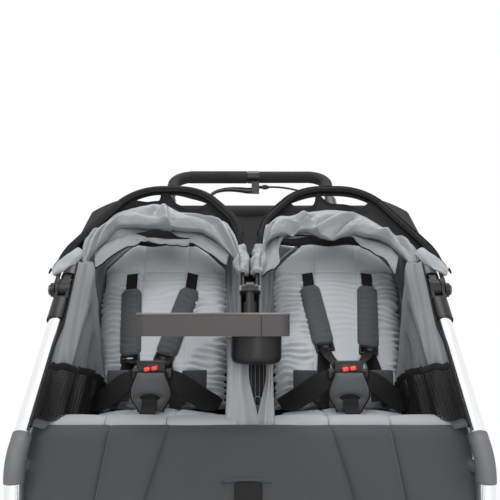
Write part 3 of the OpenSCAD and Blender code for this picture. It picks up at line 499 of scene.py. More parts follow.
lightGrey, darkGrey = (0.36, 0.375, 0.39), (0.038, 0.040, 0.042)
padGrey, black = (0.080, 0.082, 0.087), (0.011, 0.0105, 0.011)
lightCloth = wovenFinish("light grey cloth", shade(lightGrey, 0.86), sheen=0.2, rough=0.62)
# the side walls, gussets and inner walls take a darker copy of the light grey cloth: painted shade
shadedWallCloth = wovenFinish("grey wall cloth with painted shade", shade(lightGrey, 0.37), sheen=0.2, rough=0.50)
lipCloth = wovenFinish("grey lip cloth", shade(lightGrey, 0.58), sheen=0.2, rough=0.6)
hipCloth = wovenFinish("dark hip cloth", shade(padGrey, 0.42))
# the crotch pads take a darker copy of the harness pad cloth: painted shade that offsets the lamps falling
# full on them
shadedCrotchCloth = wovenFinish("crotch pad cloth with painted shade", shade(padGrey, 0.80), kind="Object", pitch=0.0013)
satin = wovenFinish("satin grey cloth", shade(lightGrey, 0.74), sheen=0.3, rough=0.44, slub=0.05)
lightPad = wovenFinish("light grey padded cloth", shade(lightGrey, 1.42), kind="Object",
                       tilt=(-backAngle, 0, 0), rough=0.64)
bolsterPad = wovenFinish("light grey bolster cloth", shade(lightGrey, 0.76), kind="Object", rough=0.66)
darkPad = wovenFinish("dark grey padded cloth", darkGrey, kind="Object", tilt=(-radians(63), 0, 0),
                      pitch=0.0014)
darkCloth = wovenFinish("dark grey cloth", shade(darkGrey, 0.55), pitch=0.0014)
strapPad = wovenFinish("harness pad cloth", padGrey, kind="Object", tilt=(-backAngle, 0, 0), pitch=0.0013)
blackCloth = wovenFinish("black cloth", (0.009, 0.009, 0.010), pitch=0.0013, sheen=0.02, shine=0.12)
bolsterCloth = wovenFinish("light grey front cloth", shade(lightGrey, 0.72), rough=0.64)
greyThread = webbingFinish("grey stitching", (0.10, 0.10, 0.11), pitch=0.0012)
netThread = wovenFinish("black net thread", (0.008, 0.008, 0.009), kind="Object", pitch=0.0007, sheen=0.02,
                        shine=0.15)
webbing = webbingFinish("black webbing", black)
moulded = plasticFinish("moulded black plastic", (0.007, 0.007, 0.008), rough=0.36)
trayPlastic = plasticFinish("moulded dark grey plastic", (0.046, 0.043, 0.042), rough=0.42, grain=1300)
redPlastic = plasticFinish("gloss red plastic", (0.78, 0.060, 0.042), rough=0.28, wear=0.1)
sleeveGrey = plasticFinish("grey sleeve", (0.115, 0.118, 0.122), rough=0.5)
foam = foamFinish("grip foam", (0.017, 0.017, 0.018))
darkSteel = metalFinish("dark steel", (0.10, 0.10, 0.105), rough=0.34)
tubeMetal = metalFinish("polished tube", (0.86, 0.87, 0.88), rough=0.14)
steel = metalFinish("bright steel", (0.62, 0.63, 0.65), rough=0.22, streak=0.12)
tyreBlack = (0.022, 0.022, 0.023)
rubber = rubberFinish("tyre rubber", tyreBlack)
sheath = rubberFinish("cable sheath", (0.012, 0.012, 0.012))

finishOf = {
    "silver_tube": tubeMetal, "bright_steel": steel, "black_plastic": moulded, "tray_plastic": trayPlastic,
    "red_plastic": redPlastic, "grip_foam": foam, "cable_sheath": sheath, "tyre_rubber": rubber,
    "light_fabric": lightCloth, "dark_fabric": darkCloth, "black_webbing": webbing, "black_mesh": netThread,
}
for part in frame["record"]["subparts"]:
    shown = nodes[part["node"]]
    shown.data.materials.clear()
    shown.data.materials.append(finishOf[part["material_slot"]])
tyres = {"front_tyre": "tread front", "rear_tyre_left": "tread rear_left",
         "rear_tyre_right": "tread rear_right"}
for tyre, name in tyres.items():
    low, high = (Vector(corner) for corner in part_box(tyre))
    nodes[tyre].data.materials[0] = treadFinish(name, tyreBlack, (low + high) / 2)
print("frame dressed in", len(finishOf), "finishes")

# camera, light and floor

view = {"place": (0, -0.924, 0.683), "lens": 41.04, "shiftY": 0.126}
lamps = {
    "key": {"place": (-1.0, -2.2, 2.7), "size": 1.3, "power": 46},
    "fill": {"place": (1.9, -1.5, 1.7), "size": 2.0, "power": 14},
    "front": {"place": (0.2, -2.8, 1.25), "size": 1.2, "power": 34},
    "top": {"place": (0.1, 0.5, 3.2), "size": 1.5, "power": 54},
    "back": {"place": (0.3, 2.8, 1.9), "size": 2.0, "power": 22},
}
aim = Vector((0, 0.1, 0.5))
ambient = {"lighting": 0.32, "seen": 1.0}
ground = {"half": 14, "drop": 0.0005, "fade": (0.9, 2.2)}

eye = bpy.data.objects.new("camera", bpy.data.cameras.new("camera"))
eye.data.lens, eye.data.shift_y = view["lens"], view["shiftY"]
eye.data.clip_start = 0.02
eye.location, eye.rotation_euler = view["place"], (pi / 2, 0, 0)
scene.collection.objects.link(eye)
scene.camera = eye

for name, lamp in lamps.items():
    light = bpy.data.objects.new(name, bpy.data.lights.new(name, "AREA"))
    light.data.energy, light.data.size = lamp["power"], lamp["size"]
    light.location = lamp["place"]
    light.rotation_euler = (aim - light.location).to_track_quat("-Z", "Y").to_euler()
    scene.collection.objects.link(light)

world = bpy.data.worlds.new("studio")
world.use_nodes = True
scene.world = world
sky = world.node_tree.nodes["Background"]
paths = world.node_tree.nodes.new("ShaderNodeLightPath")
level = world.node_tree.nodes.new("ShaderNodeMapRange")
level.inputs["To Min"].default_value = ambient["lighting"]
level.inputs["To Max"].default_value = ambient["seen"]
join = world.node_tree.links.new
ray = paths.outputs["Is Camera Ray"]
for other in ("Is Glossy Ray", "Is Transmission Ray"):
    either = world.node_tree.nodes.new("ShaderNodeMath")
    either.operation = "MAXIMUM"
    join(ray, either.inputs[0])
    join(paths.outputs[other], either.inputs[1])
    ray = either.outputs[0]
join(ray, level.inputs["Value"])
join(level.outputs[0], sky.inputs["Strength"])
sky.inputs["Color"].default_value = (1, 1, 1, 1)

floorMesh = bmesh.new()
bmesh.ops.create_grid(floorMesh, x_segments=8, y_segments=8, size=ground["half"])
bmesh.ops.translate(floorMesh, vec=(0, 0, -ground["drop"]), verts=floorMesh.verts)
pale = Finish("pale floor")
far = pale.node("ShaderNodeVectorMath", {"operation": "LENGTH"}, {0: pale.place}, "Value")
white = pale.step(far, *ground["fade"])
rays = pale.tree.nodes.new("ShaderNodeLightPath")
looked = pale.node("ShaderNodeMath", {"operation": "MAXIMUM"},
                   {0: Wire(pale, rays.outputs["Is Camera Ray"]),
                    1: Wire(pale, rays.outputs["Is Glossy Ray"])})
glow = pale.node("ShaderNodeEmission", {}, {"Color": (1, 1, 1, 1), "Strength": 1.0})
pale.done(Base_Color=pale.between(pale.cloudy(3), (0.86, 0.86, 0.86), (0.9, 0.9, 0.9)), Roughness=0.8)
mixed = pale.node("ShaderNodeMixShader", {},
                  {0: white * looked, 1: Wire(pale, pale.shader.outputs[0]), 2: glow})
pale.feed(pale.tree.nodes["Material Output"].inputs["Surface"], mixed)
floor = finishPiece("floor", floorMesh, pale.material)
print("camera, lamps and floor")

# seat backs

back = {"x": 0.182, "foot": 0.017, "top": 0.460, "half": (0.133, 0.149), "fan": 0.016, "under": -0.0077,
        "edge": 0.017, "crown": 0.034, "voxel": 0.005, "cap": 0.007, "seams": (-0.052, 0.052),
        "yokeUp": 0.352, "piping": 0.0024, "panelHalf": 0.100, "panelUps": (-0.004, 0.372),
        "sleeve": 0.0122, "sleeveRuns": ((-0.098, -0.034), (-0.030, 0.030), (0.034, 0.098)), "spare": 0.009,
        "backing": (0.30, 0.43)}


def backHalf(v):
    # the pad widens from its foot and has cut-off corners at the top
    return mix(*back["half"], ease(v / 0.4)) * (1 - 0.54 * max(0, (v - 0.79) / 0.21) ** 1.25)


def backMid(v):
    return back["x"] + 0.005 * ease(v / 0.3) + back["fan"] * v


def backFront(u, v):
    swell = max(sin(pi * min(max(u, 0), 1)), 0) ** 0.5 * max(sin(pi * min(max(v, 0), 1)), 0) ** 0.4
    return back["under"] + back["edge"] + (back["crown"] - back["edge"]) * swell


def backUp(v):
    return mix(back["foot"], back["top"], v)


def backShare(up):
    return (up - back["foot"]) / (back["top"] - back["foot"])


def backPad(side, tag, seed):
    body = f"seat_back_{tag}"

    def place(u, v, out):
        return onBack(side * (backMid(v) + (2 * u - 1) * backHalf(v)), backUp(v), out)

    pad = shell(f"seat_back_pad_{tag}", 22, 30, place, backFront, flush(back["under"]), (0.26, 0.39),
                lightPad, smooth=False)
    puff(pad, back["voxel"], back["cap"])

    def depth(p):
        up = (p.y - hingeY) * cos(backAngle) + (p.z - hingeZ) * sin(backAngle)
        out = -(p.y - hingeY) * sin(backAngle) + (p.z - hingeZ) * cos(backAngle)
        if out < back["under"] + 0.006:
            return 0
        x = side * p.x - backMid(backShare(up))
        low = ease((back["yokeUp"] - up) / 0.03)
        flank = ease((abs(x) - 0.045) / 0.03)
        wave = sin(2 * pi * (up + 0.012 * rumple(p.x, up, 0, 0.06, seed)) / 0.0145
                   + 3.5 * rumple(p.x, up, 0, 0.05, seed + 3))
        patch = ease(0.75 + 1.5 * rumple(p.x, up, 3, 0.045, seed + 6))
        pucker = (0.0054 * flank + 0.0010) * low * patch * wave
        seams = sum(bell(x - s, 0.0032) for s in back["seams"]) * (0.45 + 0.55 * (1 - low))
        yoke = bell(up - back["yokeUp"], 0.003)
        soft = 0.0034 * rumple(p.x, up, out, 0.07, seed + 9)
        return pucker + soft - 0.0062 * seams - 0.0040 * yoke

    press(pad, depth)
    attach(pad, body)
    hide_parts(f"seat_back_{tag}")

    def rim(s, v):
        return onBack(side * (backMid(v) + s * (backHalf(v) + 0.004)), backUp(v), back["under"] + 0.012)

    sweep(f"seat_back_piping_{tag}", [smoothLine(upAndDown(rim, 30), 2)], even(back["piping"]), bolsterPad, 8,
          body=body, slot="light_fabric")

    # stiff panel behind the pad, wrapped in cloth, with the sleeve that turns on the recline bar
    def panelPlace(u, v, out):
        return onBack(side * (back["x"] + (2 * u - 1) * back["panelHalf"]), mix(*back["panelUps"], v), out)

    def panelRear(u, v):
        swell = (sin(pi * u) * sin(pi * v)) ** 0.35 if 0 < u < 1 and 0 < v < 1 else 0
        return back["under"] - 0.003 - 0.0035 * swell

    shell(f"seat_back_panel_{tag}", 12, 18, panelPlace, flush(back["under"] - 0.0005), panelRear, (0.2, 0.37),
          darkCloth, body=body, slot="dark_fabric")
    mesh = bmesh.new()
    for start, stop in back["sleeveRuns"]:
        line = [Vector((side * (back["x"] + mix(start, stop, k / 6)), hingeY, hingeZ)) for k in range(7)]
        sweepInto(mesh, line, even(back["sleeve"]), 20)
    finishPiece(f"seat_back_sleeve_{tag}", mesh, blackCloth, body=body, slot="black_webbing")


def backing(side, tag):
    # black cloth behind the pad, a little wider than it; it stands for the seat back's dark rear, and its
    # margin past the pad shows from the front as a dark strip of painted shade
    def rear(u, v):
        x = backMid(v) + (2 * u - 1) * (backHalf(v) + back["spare"])
        return onBack(side * x, mix(back["foot"] - 0.006, back["top"] + 0.002, v), back["under"] - 0.0012)

    body = f"seat_back_{tag}"
    sheet(f"seat_back_backing_{tag}", 12, 30, rear, back["backing"], blackCloth, "stretched", body, 0.0012,
          body=body, slot="black_webbing")


for side, tag, seed in ((-1, "left", 1.0), (1, "right", 4.0)):
    backing(side, tag)
    backPad(side, tag, seed)
print("seat backs")

# seat cushions and front bolsters

cushion = {"x": 0.182, "half": 0.131, "front": 0.019, "back": 0.232, "low": 0.4516, "edge": 0.474,
           "crown": 0.497, "voxel": 0.005, "cap": 0.005, "seams": (0.045, -0.045), "ceiling": 0.4995}
bolster = {"left": (0.021, 0.139, 0.242, 0.349), "right": (0.040, 0.131, 0.234, 0.350), "y": 0.041,
           "z": 0.4950, "deep": 0.022, "high": 0.0160, "gap": 0.0006}


def cushionPad(side, tag, seed):
    def place(u, v, z):
        x = cushion["x"] + (2 * u - 1) * (cushion["half"] - 0.004 * sin(pi * v))
        y = mix(cushion["front"] + 0.003 * sin(pi * u), cushion["back"] - 0.003 * sin(pi * u), v)
        return Vector((side * x, y, z))

    def swell(u, v):
        full = max(sin(pi * u), 0) ** 0.5 * max(sin(pi * v), 0) ** 0.5
        return mix(cushion["edge"], cushion["crown"], full)

    pad = shell(f"seat_cushion_pad_{tag}", 20, 16, place, swell, flush(cushion["low"]), (0.26, 0.21),
                bolsterPad, smooth=False)
    puff(pad, cushion["voxel"], cushion["cap"])

    def depth(p):
        if p.z < cushion["low"] + 0.01:
            return 0
        x = side * p.x - cushion["x"]
        seams = sum(bell(x - s, 0.003) for s in cushion["seams"])
        return 0.002 * rumple(p.x, p.y, p.z, 0.05, seed) - 0.004 * seams

    press(pad, depth)
    for v in pad.data.vertices:
        v.co.z = min(max(v.co.z, cushion["low"] - 0.0003), cushion["ceiling"])
    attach(pad, "chassis")
    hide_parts(f"seat_cushion_{tag}")

    mesh = bmesh.new()
    for start, stop in zip(bolster[tag], bolster[tag][1:]):
        xs = (mix(start + bolster["gap"], stop - bolster["gap"], crowded(k / 16)) for k in range(17))
        line = [Vector((side * x, bolster["y"], bolster["z"])) for x in xs]

        def girth(share):
            near = min(max(crowded(share), 0.004), 0.996)
            full = 0.74 + 0.26 * (4 * near * (1 - near)) ** 0.4
            drop = 0.55 * ease((near - 0.72) / 0.28) if stop > 0.3 else 0
            return bolster["deep"] * full, bolster["high"] * (full - drop)

        sweepInto(mesh, line, girth, 20, Vector((0, 0, 1)))
    piece = finishPiece(f"front_bolster_{tag}", mesh, bolsterPad, **chassisLight)


for side, tag, seed in ((-1, "left", 2.0), (1, "right", 6.0)):
    cushionPad(side, tag, seed)
print("cushions and bolsters")

# calf panel

calf = {"lean": 0.508, "topZ": 0.4960, "lowZ": 0.2506, "seatY": 0.0167, "seatZ": 0.4756,
        "half": (0.350, 0.362), "seams": ((0.2306, 0.2557), (0.132, 0.200)), "swell": 0.0165,
        "sewn": 0.0036, "cells": 5}
calfNormal = Vector((0, -1, calf["lean"])).normalized()


def onCalf(x, z, out):
    return Vector((x, calf["seatY"] - (calf["seatZ"] - z) * calf["lean"], z)) + calfNormal * out


def calfEdges(v):
    outer, inner = (mix(low, top, v) for top, low in calf["seams"])
    half = mix(*calf["half"], v)
    return -half, -outer, -inner, inner, outer, half


def calfColumn(u, v):
    # columns crowd at the seams; gives the place across and how full the cell is there
    cell = min(int(u * calf["cells"] + 1e-6), calf["cells"] - 1)
    share = crowded(u * calf["cells"] - cell)
    edges = calfEdges(v)
    return mix(edges[cell], edges[cell + 1], share), max(4 * share * (1 - share), 0)


def calfPlace(u, v, out):
    return onCalf(calfColumn(u, v)[0], mix(calf["lowZ"], calf["topZ"], v), out)


def calfSwell(u, v):
    x, share = calfColumn(u, v)
    z = mix(calf["lowZ"], calf["topZ"], v)
    rim = ease(min(v, 1 - v) / 0.08)
    out = calf["sewn"] + calf["swell"] * (0.30 + 0.70 * share ** 0.36) * (0.25 + 0.75 * rim)
    out += 0.0022 * rumple(x, z, 0, 0.10, 2) * rim
    out += 0.0007 * sin(2 * pi * z / 0.021 + 3 * rumple(x, z, 0, 0.04, 5)) * bell(share, 0.35) * rim
    return out - 0.0010 * bell(x - 0.034, 0.0022)


panel = shell("calf_panel_pad", 80, 30, calfPlace, calfSwell, flush(0.0006), (0.7, 0.28), darkPad,
              **chassisDark)
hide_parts("calf_panel")

tab = {"x": (-0.024, 0.0185), "z": (0.4105, 0.29), "out": 0.0245, "flat": (0.043, 0.13)}


def calfTab(u, v):
    out = tab["out"] + 0.0015 * sin(pi * u) - 0.004 * (1 - ease(v / 0.05))
    return onCalf(mix(*tab["x"], u), mix(*tab["z"], v), out)


def pleatGirth(share):
    return 0.0020, 0.0030 * (0.3 + 0.7 * ease(min(share, 1 - share) / 0.2))


sheet("calf_tab", 6, 14, calfTab, tab["flat"], webbing, "stretched", "calf_panel", 0.0022, **chassisWeb)
pleat = [onCalf(mix(-0.045, 0.034, k / 20), 0.4125 - 0.0035 * abs(k / 10 - 1) ** 2, 0.0212)
         for k in range(21)]
sweep("calf_pleat", [pleat], pleatGirth, darkPad, 10, **chassisDark)

# cloth under the cushions as far as the recline bar, and a flap behind each seat back's foot
base = {"half": 0.336, "flat": (0.672, 0.238), "line": ((0.040, 0.469), (0.140, 0.466), (0.238, 0.464),
                                                        (0.252, 0.449), (0.262, 0.4445), (0.268, 0.4455))}
flap = {"x": (0.002, 0.314), "flat": (0.31, 0.036), "line": ((0.279, 0.4505), (0.293, 0.463),
                                                             (0.307, 0.473))}
baseLine, flapLine = (smoothLine([(0, y, z) for y, z in cut["line"]], 4) for cut in (base, flap))


def seatBase(u, v):
    return walk(baseLine, v) + Vector((mix(-base["half"], base["half"], u), 0, 0))


def seatFlap(side, u, v):
    return walk(flapLine, v) + Vector((side * mix(*flap["x"], u), 0, 0))


sheet("seat_base", 24, 22, seatBase, base["flat"], blackCloth, "stretched", "seat_frame", 0.002, **chassisWeb)
for side, tag in sides:
    sheet(f"seat_back_flap_{tag}", 10, 10, lambda u, v: seatFlap(side, u, v), flap["flat"], blackCloth,
          "stretched", f"seat_back_{tag}", 0.002, body=f"seat_back_{tag}", slot="black_webbing")
print("calf panel")

# side walls with their pockets

wall = {"tubeX": 0.3450, "hubX": 0.3405, "legX": 0.3098, "backX": (0.3085, 0.3460), "lowZ": 0.495,
        "topZ": 0.722, "rise": (0, 0.030, 0.052), "fold": 0.0042, "turn": 0.13, "off": 0.0125,
        "flat": (0.28, 0.29)}
gussets = {
    "outer": {"ups": (0.020, 0.456), "hand": 1, "inset": 0.003, "sag": 0.006,
              "along": 40, "flat": (0.03, 0.40)},
    "inner": {"ups": (0.110, 0.445), "hand": -1, "inset": 0.012, "sag": 0.005,
              "along": 24, "flat": (0.03, 0.34)},
}
tubeNormal = Vector((0, -0.743, 0.669))


def legY(z):
    return hubY + (hubZ - z) * 0.2955


def wallPoint(side, u, v, inward=0.0):
    # from the front of the main tube in front of the rear leg's top, past the leg and back to the seat back
    z = mix(wall["lowZ"], wall["topZ"], v)
    x = mix(wall["tubeX"], wall["hubX"], ease((v - 0.55) / 0.15))
    front = Vector((x, mainTubeY(z), z)) + tubeNormal * wall["off"]
    front += Vector(wall["rise"]) * ease((v - 0.80) / 0.20)
    rear = onBack(mix(*wall["backX"], ease((v - 0.08) / 0.28)), mix(*gussets["outer"]["ups"], v), 0.006)
    # low down the cloth draws in slowly, and at the hub it turns in at once to pass in front of the leg
    tight = ease(v / 0.7)
    turn = mix(0.40, wall["turn"], tight)
    late = max(u - turn, 0) / (1 - turn)
    p = front.lerp(rear, mix(u, late, tight))
    p.x = mix(front.x, wall["legX"], ease(u / turn))
    p.x = mix(p.x, rear.x, ease((p.y - legY(p.z) - 0.016) / 0.07))
    p.z -= max(0.5 - v, 0) * 0.03 * sin(pi * u)
    strip = ease(u / 0.03) * ease((turn - u) / 0.05)
    p += tubeNormal * (0.0035 * sin(2 * pi * (2.4 * u / turn + 0.7 * v)) + 0.003 * sin(9 * v)) * strip
    ripple = sin(2 * pi * (4.1 * u + 0.25 * sin(3 * v))) + 0.6 * sin(2 * pi * (8.3 * u + 0.4 * v))
    free = ease((abs(p.y - legY(p.z)) - 0.016) / 0.03)
    inside = ease((u - 0.06) / 0.1) * ease((1 - u) / 0.06)
    p.x += wall["fold"] * (ripple * free - 1.3 * (1 - free)) * inside - inward
    p += tubeNormal * 0.6 * inward
    return Vector((side * p.x, p.y, p.z))


def hemTop(u):
    return mix(0.40, 0.13, u ** 0.8) + 0.025 * sin(pi * u)


def pocketPoint(side, u, v):
    bulge = 0.003 + 0.017 * sin(pi * min(max(u, 0), 1)) ** 0.7 * (0.35 + 0.65 * v)
    return wallPoint(side, mix(0.006, 0.86, u), mix(0.045 - 0.05 * u, hemTop(u), v), bulge)


def gusset(part, side, tag, wallEdge):
    # cloth between a wall and the seat back
    cut = gussets[part]

    def place(u, v):
        up = mix(*cut["ups"], v)
        share = min(backShare(up), 1)
        x = backMid(share) + cut["hand"] * (backHalf(share) - cut["inset"])
        edge = onBack(side * x, up, back["under"] + 0.001)
        return wallEdge(v).lerp(edge, u) + Vector((0, cut["sag"] * sin(pi * u) * sin(pi * v), 0))

    piece = cloth(f"gusset_{part}_{tag}", 8, cut["along"], place, cut["flat"], shadedWallCloth, slot="light_fabric")
    freeze(piece)
    place(0, 0.5)
    place(1, 0.5)
    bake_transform(piece)


pocket = {"flat": (0.19, 0.09), "wire": 0.0019, "hem": (0.0015, 0.0062)}
sleeve = {"topZ": 0.490, "lowZ": 0.4245, "bend": 0.070, "radius": 0.0153}
for side, tag in sides:
    piece = sheet(f"side_wall_{tag}", 60, 34, lambda u, v: wallPoint(side, u, v), wall["flat"], shadedWallCloth,
                  "hung", f"main_tube_{tag}", **chassisLight)
    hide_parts("side_panels")
    edge = [wallPoint(side, 0, k / 20) + Vector((0, -0.001, 0)) for k in range(21)]
    sweep(f"side_wall_piping_{tag}", [smoothLine(edge, 2)], even(0.0022), blackCloth, 8, **chassisWeb)

    net = bmesh.new()
    clothGrid(net, 44, 26, lambda u, v: pocketPoint(side, u, v), pocket["flat"])
    bmesh.ops.triangulate(net, faces=net.faces[:], quad_method="ALTERNATE")
    piece = finishPiece(f"mesh_pocket_{tag}", net, netThread, body="chassis", slot="black_mesh")
    wire = piece.modifiers.new("net", "WIREFRAME")
    wire.thickness, wire.use_even_offset, wire.use_boundary = pocket["wire"], False, True
    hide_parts("mesh_pockets")
    hem = [pocketPoint(side, k / 30, 1.0) for k in range(31)]
    sweep(f"pocket_hem_{tag}", [smoothLine(hem, 2)], lambda s: pocket["hem"], blackCloth, 10, **chassisWeb)
    gusset("outer", side, tag, lambda v: wallPoint(side, 1, v))

    # plastic sleeve on the tube's front bend
    bends = ((mainTubeY(sleeve["topZ"]), sleeve["topZ"]), (bendY, bendZ), (bendY, sleeve["lowZ"]))
    bend = roundedLine([(side * mainTubeX, y, z) for y, z in bends], (sleeve["bend"],), 16)
    sweep(f"tube_sleeve_{tag}", [bend], even(sleeve["radius"]), sleeveGrey, 24, **chassisPlastic)
print("side walls and pockets")

# canopies, folded back behind their bows

bow = {"mid": 0.1977, "half": 0.1857, "outline": ((0.1857, 0), (0.183, 0.098), (0.062, 0.298),
                                                  (-0.085, 0.298), (-0.172, 0.190), (-0.1857, 0)),
       "bends": (0.120, 0.110, 0.110, 0.130), "sleeve": (0.0088, 0.0064)}

# edges of the gathered cloth and of the lip under it, each point by its distance across and from the hub in
# millimetres, and its folds, each with the ends of its ridge along and up the cloth, its width and its height
swags = {
    "left": {
        "top": ((352, 139), (337, 165), (315, 187), (269, 235), (226, 259), (201, 268), (179, 257),
                (153, 230), (115, 224), (60, 205), (41, 182), (26, 142), (16, 85)),
        "low": ((337, 52), (325, 96), (308, 135), (286, 181), (251, 184), (212, 183), (178, 176),
                (163, 176), (108, 168), (84, 150), (59, 122), (35, 90), (18, 62)),
        "lip": ((313, 59), (302, 77), (276, 115), (242, 142), (222, 151), (194, 142), (164, 139),
                (134, 137), (124, 145), (90, 113), (48, 68)),
        "lipTop": ((327, 120), (313, 148), (287, 164), (264, 184), (244, 175), (224, 165), (187, 160),
                   (132, 157), (117, 173), (85, 159), (42, 114)),
        "folds": ((0.46, 1.0, 0.51, 0.05, 0.036, 0.015), (0.425, 0.85, 0.41, 0.40, 0.030, -0.013),
                  (0.56, 0.95, 0.93, 0.25, 0.030, 0.010), (0.60, 0.80, 0.90, 0.05, 0.026, -0.008),
                  (0.76, 1.0, 0.96, 0.50, 0.024, 0.009), (0.80, 0.80, 0.97, 0.30, 0.018, -0.008),
                  (0.17, 1.0, 0.04, 0.20, 0.022, 0.010), (0.13, 0.90, 0.03, 0.35, 0.016, -0.009),
                  (0.24, 0.75, 0.09, 0.05, 0.022, 0.008), (0.20, 0.55, 0.11, 0.00, 0.016, -0.007),
                  (0.08, 1.0, 0.01, 0.50, 0.018, 0.008), (0.34, 0.20, 0.52, 0.02, 0.030, 0.006)),
    },
    "right": {
        "top": ((22, 85), (27, 134), (33, 179), (63, 221), (97, 224), (138, 236), (184, 248), (224, 240),
                (250, 224), (279, 192), (306, 160), (328, 140), (351, 120)),
        "low": ((20, 62), (30, 105), (37, 134), (64, 156), (91, 162), (121, 168), (143, 154), (171, 142),
                (195, 150), (222, 162), (247, 150), (290, 130), (334, 52)),
        "lip": ((25, 39), (41, 52), (60, 72), (59, 96), (62, 130), (73, 165), (101, 175), (173, 165),
                (219, 165), (233, 135), (259, 110), (280, 82), (290, 41)),
        "lipTop": ((26, 115), (35, 135), (51, 155), (61, 170), (67, 180), (77, 186), (102, 196), (176, 191),
                   (224, 180), (257, 160), (279, 142), (299, 125), (307, 96)),
        "folds": ((0.37, 1.0, 0.40, 0.30, 0.026, 0.012), (0.41, 0.45, 0.34, 0.05, 0.034, -0.016),
                  (0.62, 0.75, 0.50, 0.05, 0.030, 0.013), (0.56, 0.65, 0.49, 0.20, 0.020, -0.010),
                  (0.66, 0.60, 0.60, 0.10, 0.026, -0.010), (0.18, 0.95, 0.14, 0.10, 0.024, 0.011),
                  (0.22, 0.60, 0.18, 0.10, 0.018, -0.008), (0.10, 0.90, 0.06, 0.20, 0.018, 0.008),
                  (0.80, 1.0, 0.90, 0.20, 0.024, 0.010), (0.85, 1.0, 0.94, 0.30, 0.016, -0.009),
                  (0.90, 1.0, 0.97, 0.40, 0.018, 0.009), (0.28, 0.40, 0.42, 0.25, 0.018, 0.005)),
    },
}
bunch = {"lowAngle": radians(46), "topAngle": radians(48.2), "rearAngle": radians(43.4),
         "lipAngle": radians(43.2), "belly": 0.022, "curl": 0.05, "front": 0.64, "settle": 0.010,
         "tie": 0.47}
for cut in swags.values():
    for edge in ("top", "low", "lip", "lipTop"):
        cut[edge] = smoothLine([(x / 1000, r / 1000, 0) for x, r in cut[edge]], 6)


def foldHeight(fold, u, t):
    # a ridge between two points of the cloth, steeper on one side
    startU, startT, endU, endT, width, height = fold
    way = Vector((endU - startU, (endT - startT) * 0.25))
    off = Vector((u - startU, (t - startT) * 0.25))
    share = off.dot(way) / way.length_squared
    beyond = max(-share, share - 1, 0) * way.length
    apart = (off.x * way.y - off.y * way.x) / way.length
    return height * bell(apart, width * (1.15 if apart > 0 else 0.55)) * bell(beyond, width * 1.4)


def swagPoint(side, cut, seed, u, v):
    # v runs from the curled front hem up over the top and down behind
    low, top = walk(cut["low"], u), walk(cut["top"], u) - Vector((0, bunch["settle"], 0))
    full = ease(mix(low.y, top.y, 0.5) / 0.16) * ease(min(u, 1 - u) / 0.06 + 0.25)
    if v < bunch["front"]:
        t = max(0, (v - bunch["curl"]) / (bunch["front"] - bunch["curl"]))
        curl = 1 - min(v / bunch["curl"], 1)
        at, angle = low.lerp(top, t), mix(bunch["lowAngle"], bunch["topAngle"], t)
        out = 0.008 + bunch["belly"] * max(sin(pi * (0.12 + 0.88 * t)), 0) ** 0.8 - 0.012 * curl ** 1.5
        folds = sum(foldHeight(fold, u, t) for fold in cut["folds"])
        out += mix(1.2, 0.3, ease((t - 0.45) / 0.5)) * folds * (1 - curl)
        out += 0.0035 * rumple(9 * u, 2.2 * t, 0, 0.8, seed)
        out += 0.0018 * crease(18 * u, 5 * t, 0, 0.7, seed + 5)
        at = at + Vector((0, 0.004 * curl, 0))
    else:
        t = (v - bunch["front"]) / (1 - bunch["front"])
        at = top.lerp(Vector((top.x, top.y * 0.80, 0)), t)
        angle = mix(bunch["topAngle"], bunch["rearAngle"], ease(t))
        out = 0.008 * (1 - t) ** 2
    return fromHub(side * at.x, at.y, angle, out * full)


def fan(piece, side):
    # cloth between the upper frame and the bow
    freeze(piece)
    middle = side * bow["mid"]
    fromHub(middle, 0.2, radians(45))
    fromHub(middle, 0.2, bowAngle)
    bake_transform(piece)


